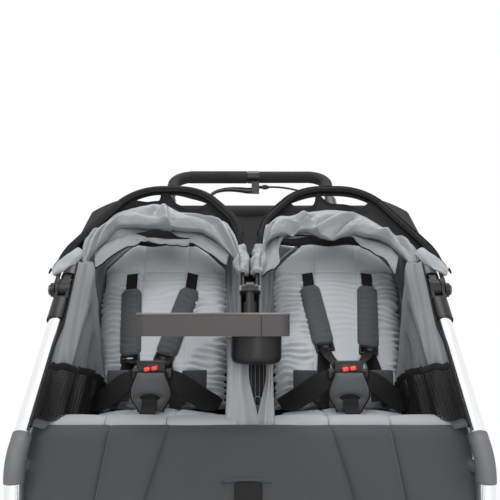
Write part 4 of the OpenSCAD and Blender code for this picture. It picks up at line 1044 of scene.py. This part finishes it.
def canopy(side, tag, seed):
    body, cut = f"canopy_{tag}", swags[tag]
    bowWeb, bowLight = ({"body": body, "slot": slot} for slot in ("black_webbing", "light_fabric"))
    corners = [fromHub(side * (bow["mid"] + x), r, bowAngle) for x, r in bow["outline"]]
    line = roundedLine(corners, bow["bends"], 14)
    sleeved = smoothLine(line, 3)
    sleeved = sleeved[int(0.05 * len(sleeved)):int(0.985 * len(sleeved))]
    bound = sleeved + [sleeved[-1].lerp(line[-1], 0.6)]
    sweep(f"canopy_binding_{tag}", [bound], lambda s: bow["sleeve"], blackCloth, 14, **bowWeb)
    plane = Vector((0, -sin(bowAngle), cos(bowAngle)))
    middle = fromHub(side * bow["mid"], 0.11, bowAngle)
    for part, outwards in (("outer", 0.0075), ("inner", -0.0075)):
        offset = [p + (p - middle).normalized() * outwards + plane * 0.0035 for p in sleeved]
        sweep(f"canopy_piping_{part}_{tag}", [offset], even(0.0021), webbing, 8, **bowWeb)

    piece = cloth(f"canopy_cloth_{tag}", 110, 40, lambda u, v: swagPoint(side, cut, seed, u, v), (0.46, 0.15),
                  satin, 0.0012, slot="light_fabric")
    fan(piece, side)
    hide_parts(f"canopy_cover_{tag}")

    # black lining between the bow and the gathered cloth, slit open in the middle
    arc = sleeved if side < 0 else sleeved[::-1]

    def swagTop(w):
        return swagPoint(side, cut, seed, w, bunch["front"] + 0.03)

    def lining(u, v):
        w = mix(0.03, 0.97, u)
        slit = 0.62 * ease((w - 0.27) / 0.10) * ease((0.73 - w) / 0.10) * (1 - bell(w - bunch["tie"], 0.020))
        p = walk(arc, w).lerp(swagTop(w), mix(slit, 1.06, v))
        return p - plane * (0.004 * sin(pi * v) + 0.003 * rumple(12 * u, 3 * v, 0, 0.8, seed))

    piece = cloth(f"canopy_lining_{tag}", 60, 10, lining, (0.45, 0.033), blackCloth, 0.001, slot="black_mesh")
    fan(piece, side)

    # deep binding under the bow, and a wing of the same cloth from the bow's outer leg to the upper tube
    def binding(u, v):
        w = mix(0.20, 0.80, u)
        return walk(arc, w).lerp(swagTop(w), 0.24 * v) - plane * 0.002

    sheet(f"canopy_deep_binding_{tag}", 50, 4, binding, (0.30, 0.02), blackCloth, "stretched",
          f"canopy_bow_{tag}", 0.0012, body=body, slot="black_mesh")

    def wing(u, v):
        leg = walk(arc, mix(0.08, 0.36, u) if side < 0 else mix(0.92, 0.64, u)) - plane * 0.003
        tube = fromHub(side * (0.377 - 0.010 * u), mix(0.075, 0.285, u), upperAngle, 0.012)
        return leg.lerp(tube, v) + Vector((side * 0.006 * sin(pi * v), 0, 0.003 * sin(pi * v)))

    piece = cloth(f"canopy_wing_{tag}", 20, 8, wing, (0.20, 0.05), blackCloth, 0.0012, slot="black_mesh")
    fan(piece, side)

    # lip of the canopy's rear hem, which follows the top of the seat back
    def lip(u, v):
        at = walk(cut["lip"], u).lerp(walk(cut["lipTop"], u), v)
        out = 0.004 + 0.005 * sin(pi * v) + 0.0030 * rumple(14 * u, 2 * v, 0, 0.8, seed + 1)
        out += 0.0032 * crease(11 * u, 3 * v, 0, 0.8, seed + 2)
        return fromHub(side * at.x, at.y, bunch["lipAngle"], out)

    sheet(f"canopy_lip_{tag}", 64, 8, lip, (0.36, 0.032), lipCloth, "stretched", "upper_tube", 0.0016,
          body="upper_frame", slot="light_fabric")
    hem = [lip(k / 60, 0) for k in range(61)]
    sweep(f"canopy_lip_piping_{tag}", [hem], even(0.0015), blackCloth, 8, body="upper_frame",
          slot="black_webbing")

    # cuff of cloth round the outer foot of the bow, and crumpled cloth round the inner one
    def cuff(u, v):
        foot, top = Vector((0.3945, 0.040)), Vector((0.3490, 0.1035))
        across = Vector((0.813, 0.582)) * (2 * u - 1) * (mix(0.0090, 0.0140, v) + 0.0055 * sin(pi * v))
        at = foot.lerp(top, v) + across - Vector((0, 0.005 * sin(3 * pi * u) * (1 - v)))
        over = 0.0115 * cos(1.35 * (2 * u - 1)) + 0.0024 * rumple(5 * u, 4 * v, 0, 0.8, seed)
        return fromHub(side * at.x, at.y, bowAngle, over + 0.0014 * sin(9 * v + 4 * u))

    sheet(f"canopy_cuff_{tag}", 20, 16, cuff, (0.042, 0.085), lightCloth, "folded", f"canopy_bow_{tag}",
          **bowLight)
    edge = [cuff(1, 1 - k / 12) for k in range(13)] + [cuff(1 - k / 12, 0) for k in range(1, 7)]
    sweep(f"canopy_cuff_piping_{tag}", [edge], even(0.0016), blackCloth, 8, **bowWeb)

    inner = [fromHub(side * (bow["mid"] - bow["half"] + 0.011 * r / 0.175), r, bowAngle)
             for r in (0.044 + 0.003 * k for k in range(24))]

    def girth(share):
        full = 0.0100 + 0.0042 * bell(share - 0.42, 0.26)
        return full + 0.0010 * sin(19 * share), full + 0.0010 * sin(19 * share + 2)

    mesh = bmesh.new()
    sweepInto(mesh, inner, girth, 26)
    for v in mesh.verts:
        axis = walk(inner, (v.co - inner[0]).length / (inner[-1] - inner[0]).length)
        v.co += (v.co - axis).normalized() * 0.0046 * crease(v.co.x, v.co.y, 0.4 * v.co.z, 0.010, seed)
        v.co.x = side * max(side * v.co.x, 0.0008)
    crumple = finishPiece(f"canopy_crumple_{tag}", mesh, bolsterPad, **bowLight)


for side, tag, seed in ((-1, "left", 3.0), (1, "right", 8.0)):
    canopy(side, tag, seed)
print("canopies")

# back panel under the crossbar

hung = {"from": 0.167, "tongue": 0.118, "to": 0.284, "half": 0.343, "straight": 0.243, "round": 0.046,
        "sag": 0.010, "flat": (0.69, 0.12)}


def backPanel(u, v):
    start = mix(hung["tongue"], hung["from"], ease((abs(2 * u - 1) * hung["half"] - 0.018) / 0.03))
    r = mix(start, hung["to"], v)
    half = hung["half"]
    if r >= hung["straight"]:
        half += max(hung["round"] ** 2 - (r - hung["straight"]) ** 2, 0) ** 0.5 - hung["round"]
    out = -hung["sag"] * sin(pi * u) * sin(pi * v) + 0.0022 * rumple(9 * u, 3 * v, 0, 0.7, 3)
    out += 0.002 * sin(2 * pi * 9 * u) * (1 - v) ** 2
    return fromHub((2 * u - 1) * half, r, upperAngle, out)


piece = sheet("back_panel_cloth", 70, 18, backPanel, hung["flat"], blackCloth, "stretched", "upper_tube",
              0.0026, body="upper_frame", slot="dark_fabric")
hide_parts("back_panel")
sweep("back_panel_hem", [[backPanel(k / 60, 0) for k in range(61)]], lambda s: (0.0022, 0.005), blackCloth, 8,
      body="upper_frame", slot="black_webbing")

# centre channel between the seats

channel = {"x": 0.041, "mouth": 0.013, "gape": 0.0165, "front": 0.046, "rear": 0.240, "lowZ": 0.486,
           "topZ": 0.640, "corner": 0.36, "flat": (0.235, 0.155)}
strap = {"half": 0.0185, "y": (0.064, 0.092), "z": (0.490, 0.655), "flat": (0.037, 0.17)}


def postY(z):
    return mix(0.057, hubY, (z - 0.446) / (hubZ - 0.446))


def channelPoint(side, u, v):
    # a front cheek from the slit to the corner, then the side back to the seat
    z = mix(channel["lowZ"], channel["topZ"], v)
    slit = channel["mouth"] + side * channel["gape"] * ease((v - 0.04) / 0.55)
    front = channel["front"] - 0.022 * (1 - ease(v / 0.5)) + 0.030 * v
    corner = side * (channel["x"] - 0.004 * v)
    if u < channel["corner"]:
        t = u / channel["corner"]
        x = mix(slit, corner, t)
        y = front + 0.012 * (1 - t) - 0.008 * sin(pi * t)
        y += 0.0035 * sin(2 * pi * (1.8 * t + 0.2 * v)) * sin(pi * t)
    else:
        t = (u - channel["corner"]) / (1 - channel["corner"])
        x = corner + side * 0.004 * sin(2 * pi * (2.3 * t + 0.3 * v)) * sin(pi * t)
        y = mix(front, channel["rear"], t)
    return Vector((x, y, z + 0.002 * rumple(9 * u, 4 * v, 0, 0.8, 5)))


for side, tag in sides:
    piece = sheet(f"centre_channel_{tag}", 44, 26, lambda u, v: channelPoint(side, u, v), channel["flat"],
                  bolsterCloth, "hung", "centre_post", **chassisLight)
    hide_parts("centre_divider")
    edge = [channelPoint(side, 0, k / 30) for k in range(31)]
    sweep(f"channel_hem_{tag}", [edge], even(0.0016), bolsterCloth, 8, **chassisLight)


def channelStrap(u, v):
    return Vector((channel["mouth"] + (2 * u - 1) * strap["half"], mix(*strap["y"], v), mix(*strap["z"], v)))


sheet("channel_strap", 6, 20, channelStrap, strap["flat"], webbing, "hung", "centre_post", 0.002,
      **chassisWeb)
stitches = [[channelStrap(mix(0.2, 0.8, i / 3), k / 20) + Vector((0, -0.0015, 0)) for k in range(21)]
            for i in range(4)]
sweep("channel_stitches", stitches, even(0.0007), greyThread, 6, **chassisWeb)
ring = [Vector((channel["mouth"] + 0.0065 * cos(t), 0.0605, 0.5305 + 0.0085 * sin(t)))
        for t in (2 * pi * k / 32 for k in range(33))]
sweep("channel_ring", [ring], even(0.0011), darkSteel, 8, body="chassis", slot="bright_steel")
pull = bmesh.new()
blockInto(pull, (0.006, 0.002, 0.016), Vector((channel["mouth"], 0.0585, 0.514)), 0.0008)
finishPiece("channel_pull", pull, moulded, **chassisPlastic)


# walls between the seat backs and the post
def innerWall(side, u, v):
    z = mix(0.575, 0.802, v)
    front = Vector((0.0165 + 0.004 * v, postY(min(z, hubZ)) + 0.012 + 0.10 * max(z - 0.70, 0), z))
    rear = onBack(0.047 + 0.012 * v, mix(*gussets["inner"]["ups"], v), 0.012)
    p = front.lerp(rear, u)
    ripple = 0.0045 * sin(2 * pi * (2.6 * u + 0.5 * v)) + 0.003 * sin(2 * pi * (5.3 * u - 0.3 * v))
    p.x += ripple * ease(u / 0.15)
    return Vector((side * p.x, p.y, p.z))


for side, tag in sides:
    sheet(f"inner_wall_{tag}", 40, 24, lambda u, v: innerWall(side, u, v), (0.21, 0.24), shadedWallCloth, "hung",
          "centre_post", **chassisLight)
    gusset("inner", side, tag, lambda v: innerWall(side, 1, v))


def centreCurtain(u, v):
    return Vector((mix(-0.026, 0.026, u), 0.232 + 0.06 * v, mix(0.560, 0.800, v)))


sheet("centre_curtain", 6, 14, centreCurtain, (0.052, 0.247), blackCloth, "hung", "centre_post",
      **chassisWeb)
print("back panel and centre channel")

# harness

harness = {"webHalf": 0.0125, "padHalf": 0.0235, "padThick": 0.0115, "padOver": (0.0040, 0.0058),
           "web": (0.025, 0.08), "adjuster": (0.041, 0.009, 0.022), "window": (0.0052, 0.0045)}
runs = {
    "left": {"outer": {"low": (0.075, 0.132), "high": (0.090, 0.300), "slot": (0.092, 0.352)},
             "inner": {"low": (0.000, 0.132), "high": (-0.046, 0.300), "slot": (-0.050, 0.352)}},
    "right": {"outer": {"low": (0.074, 0.152), "high": (0.088, 0.308), "slot": (0.089, 0.352)},
              "inner": {"low": (-0.022, 0.158), "high": (-0.047, 0.308), "slot": (-0.049, 0.352)}},
}


def aboveBack(side, x, up, out):
    v = backShare(up)
    u = 0.5 + 0.5 * (x - back["fan"] * v) / backHalf(v)
    return onBack(side * (back["x"] + x), up, backFront(u, v) + back["cap"] * 0.6 + out)


def strapLine(run):
    # the ends of a strap's pad, the slot above it, and the ways along and across it
    low, high, slot = (Vector(run[key]) for key in ("low", "high", "slot"))
    way = (high - low).normalized()
    return low, high, slot, way, Vector((way.y, -way.x))


def strapPads(side, tag):
    body = f"seat_back_{tag}"
    pads, adjusters = bmesh.new(), bmesh.new()
    for run in runs[tag].values():
        low, high, _, way, across = strapLine(run)

        def spot(s, t, out):
            p = low.lerp(high, t) + across * s
            return aboveBack(side, p.x, p.y, out)

        def padPlace(u, v, out):
            half = harness["padHalf"] * (1 - 0.25 * (1 - ease(min(v, 1 - v) / 0.07)))
            return spot((2 * u - 1) * half, v, out)

        def padSwell(u, v):
            swell = max(sin(pi * u), 0) ** 0.45 * (0.45 + 0.55 * ease(min(v, 1 - v) / 0.06))
            ruck = 0.0028 * sin(2 * pi * v * 11 + 3 * rumple(u, v, 0, 0.3, 2)) * sin(pi * u)
            return harness["padOver"][1] + harness["padThick"] * swell + ruck

        sewInto(pads, 14, 44, padPlace, padSwell, flush(harness["padOver"][0]), (0.05, 0.18))

        # slide adjuster below the pad
        lean = Matrix.Rotation(backAngle - pi / 2, 4, "X")
        turn = lean @ Matrix.Rotation(side * atan2(way.x, way.y), 4, "Y")
        blockInto(adjusters, harness["adjuster"], spot(0, -0.045, 0.008), 0.0028, turn, harness["window"])

    piece = finishPiece(f"shoulder_pads_{tag}", pads, strapPad, body=body, slot="dark_fabric")
    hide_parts(f"shoulder_straps_{tag}")
    finishPiece(f"strap_adjusters_{tag}", adjusters, moulded, body=body, slot="black_plastic")


def strapWebs(side, tag):
    body = f"seat_back_{tag}"
    for part, run in runs[tag].items():
        _, high, slot, _, across = strapLine(run)

        def upper(u, v):
            p = high.lerp(slot, mix(-0.6, 1, v)) + across * (2 * u - 1) * harness["webHalf"]
            return aboveBack(side, p.x, p.y, 0.0072 - 0.016 * ease((v - 0.9) / 0.1))

        sheet(f"shoulder_web_{part}_{tag}", 6, 18, upper, harness["web"], webbing, "stretched", body, 0.0018,
              body=body, slot="black_webbing")


for side, tag in sides:
    strapPads(side, tag)
    strapWebs(side, tag)
print("harness")

# lower harness: crotch pads, buckles, waist webbing

crotch = {"x": 0.182, "front": 0.1255, "low": 0.5012, "high": 0.5745, "thick": 0.016, "slotAt": 0.30,
          "web": (0.027, 0.045), "mouth": (0.042, 0.010)}
buckle = {"size": (0.052, 0.0165, 0.046), "z": 0.5715, "behind": 0.0086, "ear": (0.016, 0.010, 0.020),
          "earX": 0.030, "earZ": 0.570, "button": (0.0118, 0.010, 0.0078), "buttonX": 0.0068,
          "buttonZ": 0.5805, "tilt": -0.16}
hip = {"x": (0.050, 0.098), "y": (0.166, 0.180), "z": (0.512, 0.572), "outerFoot": 0.088,
       "innerFoot": 0.046}
waistRun = ((0.022, 0.1345, 0.569), (0.050, 0.137, 0.553), (0.085, 0.148, 0.527), (0.108, 0.160, 0.511),
            (0.121, 0.168, 0.500))


def crotchHalf(v):
    return mix(0.022, 0.0365, ease(v / 0.42)) if v < 0.5 else mix(0.0365, 0.026, ease((v - 0.5) / 0.5))


def lowerHarness(side, tag):
    x0, face = crotch["x"], crotch["front"]

    def place(u, v, out):
        x = x0 + (2 * u - 1) * crotchHalf(v)
        return Vector((side * x, face - out, mix(crotch["low"], crotch["high"], v)))

    def swelling(u, v):
        swell = max(sin(pi * u), 0) ** 0.4 * max(sin(pi * v), 0) ** 0.35
        mouth = bell(v - crotch["slotAt"] - 0.10 * (1 - (2 * u - 1) ** 2), 0.07) * bell(2 * u - 1, 0.62)
        return 0.004 + crotch["thick"] * swell - 0.012 * mouth

    pad = shell(f"crotch_pad_{tag}", 20, 22, place, swelling, flush(-0.0004), (0.07, 0.07), shadedCrotchCloth,
                **chassisDark)
    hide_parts("crotch_pads")

    def rim(s, v):
        x = x0 + s * (crotchHalf(v) + 0.0006)
        return Vector((side * x, face - 0.004, mix(crotch["low"], crotch["high"], v)))

    sweep(f"crotch_piping_{tag}", [smoothLine(upAndDown(rim, 20), 2)], even(0.0016), blackCloth, 8,
          **chassisWeb)

    path = smoothLine([(x0, face - 0.008, 0.531), (x0, face - 0.0185, 0.526), (x0, face - 0.022, 0.513),
                       (x0 + 0.002, face - 0.036, 0.5035)], 8)

    def tongue(u, v):
        return Vector((side * walk(path, v).x + (2 * u - 1) * 0.0135, *walk(path, v).yz))

    sheet(f"crotch_web_{tag}", 6, 24, tongue, crotch["web"], webbing, "hung", "crotch_pads", 0.0022,
          **chassisWeb)

    def mouth(u, v):
        across = 2 * u - 1
        z = 0.5255 + 0.0085 * (1 - across ** 2) + mix(-0.0050, 0.0050, v) * (1 - across ** 4)
        return Vector((side * x0 + across * 0.0205, face - 0.0150 + 0.004 * across ** 2, z))

    sheet(f"crotch_mouth_{tag}", 16, 4, mouth, crotch["mouth"], blackCloth, "stretched", "crotch_pads", 0.0012,
          **chassisWeb)

    case = bmesh.new()
    blockInto(case, buckle["size"], Vector((side * x0, face + buckle["behind"], buckle["z"])), 0.005)
    for shift in (-buckle["earX"], buckle["earX"]):
        at = Vector((side * (x0 + shift), face + buckle["behind"], buckle["earZ"]))
        blockInto(case, buckle["ear"], at, 0.003)
    finishPiece(f"harness_buckle_{tag}", case, moulded, **chassisPlastic)

    button = bmesh.new()
    for shift in (-buckle["buttonX"], buckle["buttonX"]):
        at = Vector((side * x0 + shift, face - 0.0030, buckle["buttonZ"] + 0.13 * shift))
        blockInto(button, buckle["button"], at, 0.0022, Matrix.Rotation(buckle["tilt"], 4, "Y"))
    piece = finishPiece(f"release_buttons_{tag}", button, redPlastic, body=f"buckle_button_{tag}",
                        slot="red_plastic")
    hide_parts(f"buckle_button_{tag}")
    for part, way in (("outer", 1), ("inner", -1)):
        hipSet(side, tag, part, way)


def hipSet(side, tag, part, way):
    x0 = crotch["x"]
    line = smoothLine([(x0 + way * x, y, z) for x, y, z in waistRun], 8)

    def waist(u, v):
        lean = Vector((0.42 * way, mix(0.15, 0.55, v), mix(0.90, 0.72, v))).normalized()
        p = walk(line, v) + lean * (2 * u - 1) * mix(0.013, 0.0200, ease(v / 0.35))
        return Vector((side * p.x, p.y + 0.002 * sin(3 * pi * v) * (2 * u - 1), max(p.z, seatTop)))

    piece = sheet(f"waist_web_{part}_{tag}", 8, 36, waist, (0.038, 0.135), webbing, "stretched",
                  "harness_buckles", 0.0022, **chassisWeb)
    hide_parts("hip_straps")

    def hipPlace(u, v, out):
        y = mix(*hip["y"], v) + 0.010 * u - out
        return Vector((side * (x0 + way * mix(*hip["x"], u)), y, mix(*hip["z"], v)))

    piece = shell(f"hip_pad_{part}_{tag}", 10, 12, hipPlace, lambda u, v: 0.005 * sin(pi * u) * sin(pi * v),
                  flush(-0.005), (0.05, 0.06), hipCloth, **chassisDark)

    # webbing from the slide adjuster down to the buckle, and past the crotch pad to the corner of the seat
    lowX, lowUp = runs[tag][part]["low"]
    top = aboveBack(1, lowX, lowUp - 0.010, 0.008)
    halfway = top.lerp(Vector((x0 + way * 0.020, 0.150, 0.590)), 0.5) + Vector((0, -0.010, -0.006))
    drop = smoothLine([top, halfway, (x0 + way * 0.019, 0.1425, 0.586),
                       (x0 + way * 0.016, 0.1385, 0.574)], 10)
    foot = Vector((x0 + way * hip[f"{part}Foot"], 0.166, 0.503))
    halfway = top.lerp(foot, 0.5) + Vector((0, -0.006, -0.012))
    fall = smoothLine([top + Vector((0, 0.004, 0)), halfway, foot], 12)

    def lower(u, v):
        p = walk(drop, v) + Vector((1, 0, 0.25 * way)).normalized() * (2 * u - 1) * harness["webHalf"]
        return Vector((side * p.x, p.y, p.z))

    def hipWeb(u, v):
        half = mix(harness["webHalf"], 0.0150, v)
        p = walk(fall, v) + Vector((1, 0, 0.5 * way * v)).normalized() * (2 * u - 1) * half
        return Vector((side * p.x, p.y + 0.002 * sin(4 * v + 3 * u), max(p.z, seatTop)))

    for kind, along, place, flat, start in (("lower", 36, lower, (0.025, 0.19), (side * x0, 0.150, 0.590)),
                                            ("hip", 30, hipWeb, (0.028, 0.16), (side * x0, 0.170, 0.520))):
        web = cloth(f"{kind}_web_{part}_{tag}", 6, along, place, flat, webbing, 0.002, slot="black_webbing")
        freeze(web)
        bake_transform(web)
        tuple(start)


for side, tag in sides:
    lowerHarness(side, tag)
print("lower harness")

# handlebar, lever and hubs

grip = {"y": 0.56887, "z": 1.03838, "radius": 0.0153, "pitch": 0.0062, "from": -0.158, "to": -0.0075}
wrapLine = [Vector((mix(grip["from"], grip["to"], k / 260), grip["y"], grip["z"])) for k in range(261)]


def wrapRadius(share):
    turn = 2 * pi * share * (grip["to"] - grip["from"]) / grip["pitch"]
    r = grip["radius"] + 0.0007 * abs(sin(turn / 2)) ** 0.6
    r -= 0.0012 * (1 - ease(min(share, 1 - share) / 0.015))
    return r, r


sweep("grip_wrap", [wrapLine], wrapRadius, foam, 28, body="upper_frame", slot="grip_foam")

lever = {"pivot": (0.014, 0.56887, 1.00438),
         "blade": ((0.016, 0.0), (-0.006, -0.001), (-0.030, 0.0015), (-0.058, 0.0020), (-0.082, -0.0018),
                   (-0.096, -0.008), (-0.1015, -0.0135))}
bladeLine = smoothLine([(x, lever["pivot"][1], lever["pivot"][2] + z) for x, z in lever["blade"]], 8)
lacquer = plasticFinish("lever lacquer", (0.010, 0.010, 0.011), rough=0.2)


def bladeGirth(share):
    high = mix(0.0084, 0.0044, ease(share * 1.2)) * (1 if share < 0.97 else 0.8)
    return mix(0.0058, 0.0044, share), high


mesh = bmesh.new()
sweepInto(mesh, bladeLine, bladeGirth, 14, Vector((0, 0, 1)))
piece = finishPiece("brake_lever_blade", mesh, lacquer, body="brake_lever", slot="black_plastic")
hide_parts("brake_lever")

nodes["fold_pins"].data.materials[0] = darkSteel
print("handlebar, lever and hubs")

# tray rim

trayLow, trayHigh = (Vector(corner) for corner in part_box("child_tray"))
trayMid, trayHalf = (trayLow + trayHigh) / 2, (trayHigh - trayLow) / 2
tray = {"corner": 0.014, "bead": 0.0021, "inset": 0.0015, "seamX": 0.0185, "rimZ": 0.6815, "deep": 0.050}
# the rim bead is lighter than the tray: a painted highlight along its edge
rimHighlight = plasticFinish("tray rim painted highlight", (0.13, 0.125, 0.122), rough=0.36)
square = [Vector((trayMid.x + sx * (trayHalf.x - tray["inset"]),
                  trayLow.y + (1 + sy) * (tray["deep"] - tray["inset"] * sy), tray["rimZ"]))
          for sx, sy in ((1, -1), (1, 1), (-1, 1), (-1, -1))]
start = square[3].lerp(square[0], 0.5)
rimLine = roundedLine([start, *square, start], (tray["corner"] - tray["inset"],) * 4, 8)
sweep("tray_rim", [rimLine], even(tray["bead"]), rimHighlight, 10, body="tray", slot="tray_plastic")
seam = bmesh.new()
blockInto(seam, (0.0012, 0.0012, 0.036), Vector((tray["seamX"], trayLow.y - 0.0002, 0.6635)), 0.0004)
finishPiece("tray_seam", seam, moulded, body="tray", slot="black_plastic")
print("tray rim")

# brake cable in two runs and the loop that passes the fold, each route in millimetres

cable = {
    "radius": 0.0025,
    "upper": ((50, 473, 20), (62, 473, 20), (80, 471, 20), (105, 463, 20), (130, 450, 20), (152, 432, 19),
              (172, 410, 17), (186, 388, 18), (192, 364, 22), (200, 338, 27), (216, 310, 27),
              (238, 286, 26), (266, 264, 25), (294, 243, 23), (320, 220, 21), (340, 196, 19),
              (352, 172, 17.6), (357, 148, 16.9), (358, 122, 16.8), (358, 96, 16.8)),
    "lower": ((374, -30, 459), (374, -42, 430), (374, -45, 400), (374, -45, 360), (374, -43, 325),
              (373, -40, 295), (370, -40, 268), (358, -42, 246), (338, -50, 236), (309, -73.5, 237.8),
              (280, -97, 239.5), (251, -120.5, 241.3), (222, -144, 243), (190, -150, 248), (160, -150, 254),
              (130, -148, 259), (100, -146, 261), (72, -148, 259), (50, -154, 255), (34, -164, 251.6),
              (28, -170, 251.2)),
    "loop": ((366, 270, 733), (374, 240, 694), (374.5, 195, 670)),
}
for route in ("upper", "lower", "loop"):
    cable[route] = [Vector(at) / 1000 for at in cable[route]]


def cableRun(name, points):
    run = smoothLine(points, 3)
    piece = sweep(name, [run], even(cable["radius"]), sheath, 10, slot="cable_sheath")
    length = sum((a - b).length for a, b in zip(run, run[1:]))
    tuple(run[0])
    return piece, run


underTube = [fromHub(x, r, upperAngle, -below) for x, r, below in cable["upper"]]
upperCable, upperRun = cableRun("brake_cable_upper_run", underTube)
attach(upperCable, "upper_frame")
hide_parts("brake_cable_upper")
beside = [Vector((0.374, mainTubeY(z) + 0.0165, z)) for z in (0.653, 0.620, 0.580, 0.536, 0.491)]
lowerCable, lowerRun = cableRun("brake_cable_lower_run", beside + cable["lower"])
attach(lowerCable, "chassis")
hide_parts("brake_cable_lower")
pastHub = [upperRun[-1], *cable["loop"], lowerRun[0]]
loopCable, loopRun = cableRun("brake_cable_loop", pastHub)
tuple(loopRun[0])
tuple(loopRun[-1])
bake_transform(loopCable)
print("brake cables")

# footrest and basket

footLow, footHigh = (Vector(corner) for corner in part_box("footrest_panel"))
footFront = [v.co for v in nodes["footrest_panel"].data.vertices if v.co.y < footLow.y + 0.002]
footBack = [v.co for v in nodes["footrest_panel"].data.vertices if v.co.y > footHigh.y - 0.002]


def footrest(u, v):
    half = mix(max(c.x for c in footFront), max(c.x for c in footBack), v)
    z = mix(min(c.z for c in footFront), min(c.z for c in footBack), v) + 0.0015
    sag = 0.006 * sin(pi * v) * (1 - (2 * u - 1) ** 4)
    z += 0.0008 * rumple(8 * u, 5 * v, 0, 0.8, 2) - sag
    return Vector(((2 * u - 1) * half, mix(footLow.y, footHigh.y, v), z))


deep = footHigh.y - footLow.y
piece = sheet("footrest_cloth", 30, 16, footrest, (0.47, deep), blackCloth, "stretched", "brake_bar", 0.003,
              **chassisWeb)
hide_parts("footrest_panel")
ribs = [[footrest(mix(0.1, 0.9, k / 24), v) + Vector((0, 0, 0.002)) for k in range(25)]
        for v in (0.2, 0.35, 0.5, 0.65, 0.8)]
sweep("footrest_grips", ribs, even(0.0016), rubber, 8, **chassisWeb)

basket = {"front": (0.3437, -0.020, 0.3025), "back": (0.3180, 0.296, 0.2344), "inset": 0.030,
          "floor": 0.1505, "midY": 0.138, "corner": 0.030, "hem": 0.0035, "wallShare": 0.6,
          "flat": (0.95, 0.60)}


def basketRing(inset, drop):
    (fx, fy, fz), (bx, by, bz) = basket["front"], basket["back"]
    corners = [(fx - inset, fy + inset / 2, mix(fz, basket["floor"], drop)),
               (bx - inset, by - inset / 2, mix(bz, basket["floor"], drop))]
    around = [Vector(c) for c in (*corners, *((-x, y, z) for x, y, z in corners[::-1]))]
    start = around[3].lerp(around[0], 0.5)
    return roundedLine([start, *around, start], (basket["corner"],) * 4, 8)


basketTop, basketFoot = basketRing(0, 0), basketRing(basket["inset"], 1)


def basketPoint(u, v):
    share = min(v / basket["wallShare"], 1)
    p = walk(basketTop, u).lerp(walk(basketFoot, u), share)
    middle = Vector((0, basket["midY"], p.z))
    sag = 0.010 * sin(pi * share) + 0.004 * rumple(20 * u, 4 * v, 0, 0.8, 6) * sin(pi * min(v, 0.999))
    p += (middle - p).normalized() * sag
    if v > basket["wallShare"]:
        centre = Vector((0, basket["midY"], basket["floor"]))
        p = p.lerp(centre, (v - basket["wallShare"]) / (1 - basket["wallShare"]))
    return p


piece = cloth("cargo_basket_cloth", 96, 26, basketPoint, basket["flat"], blackCloth, 0.002, **chassisWeb)
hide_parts("cargo_basket")
hem = [basketPoint(k / 120, 0) for k in range(121)]
sweep("basket_hem", [hem], even(basket["hem"]), webbing, 10, **chassisWeb)
print("footrest and basket")
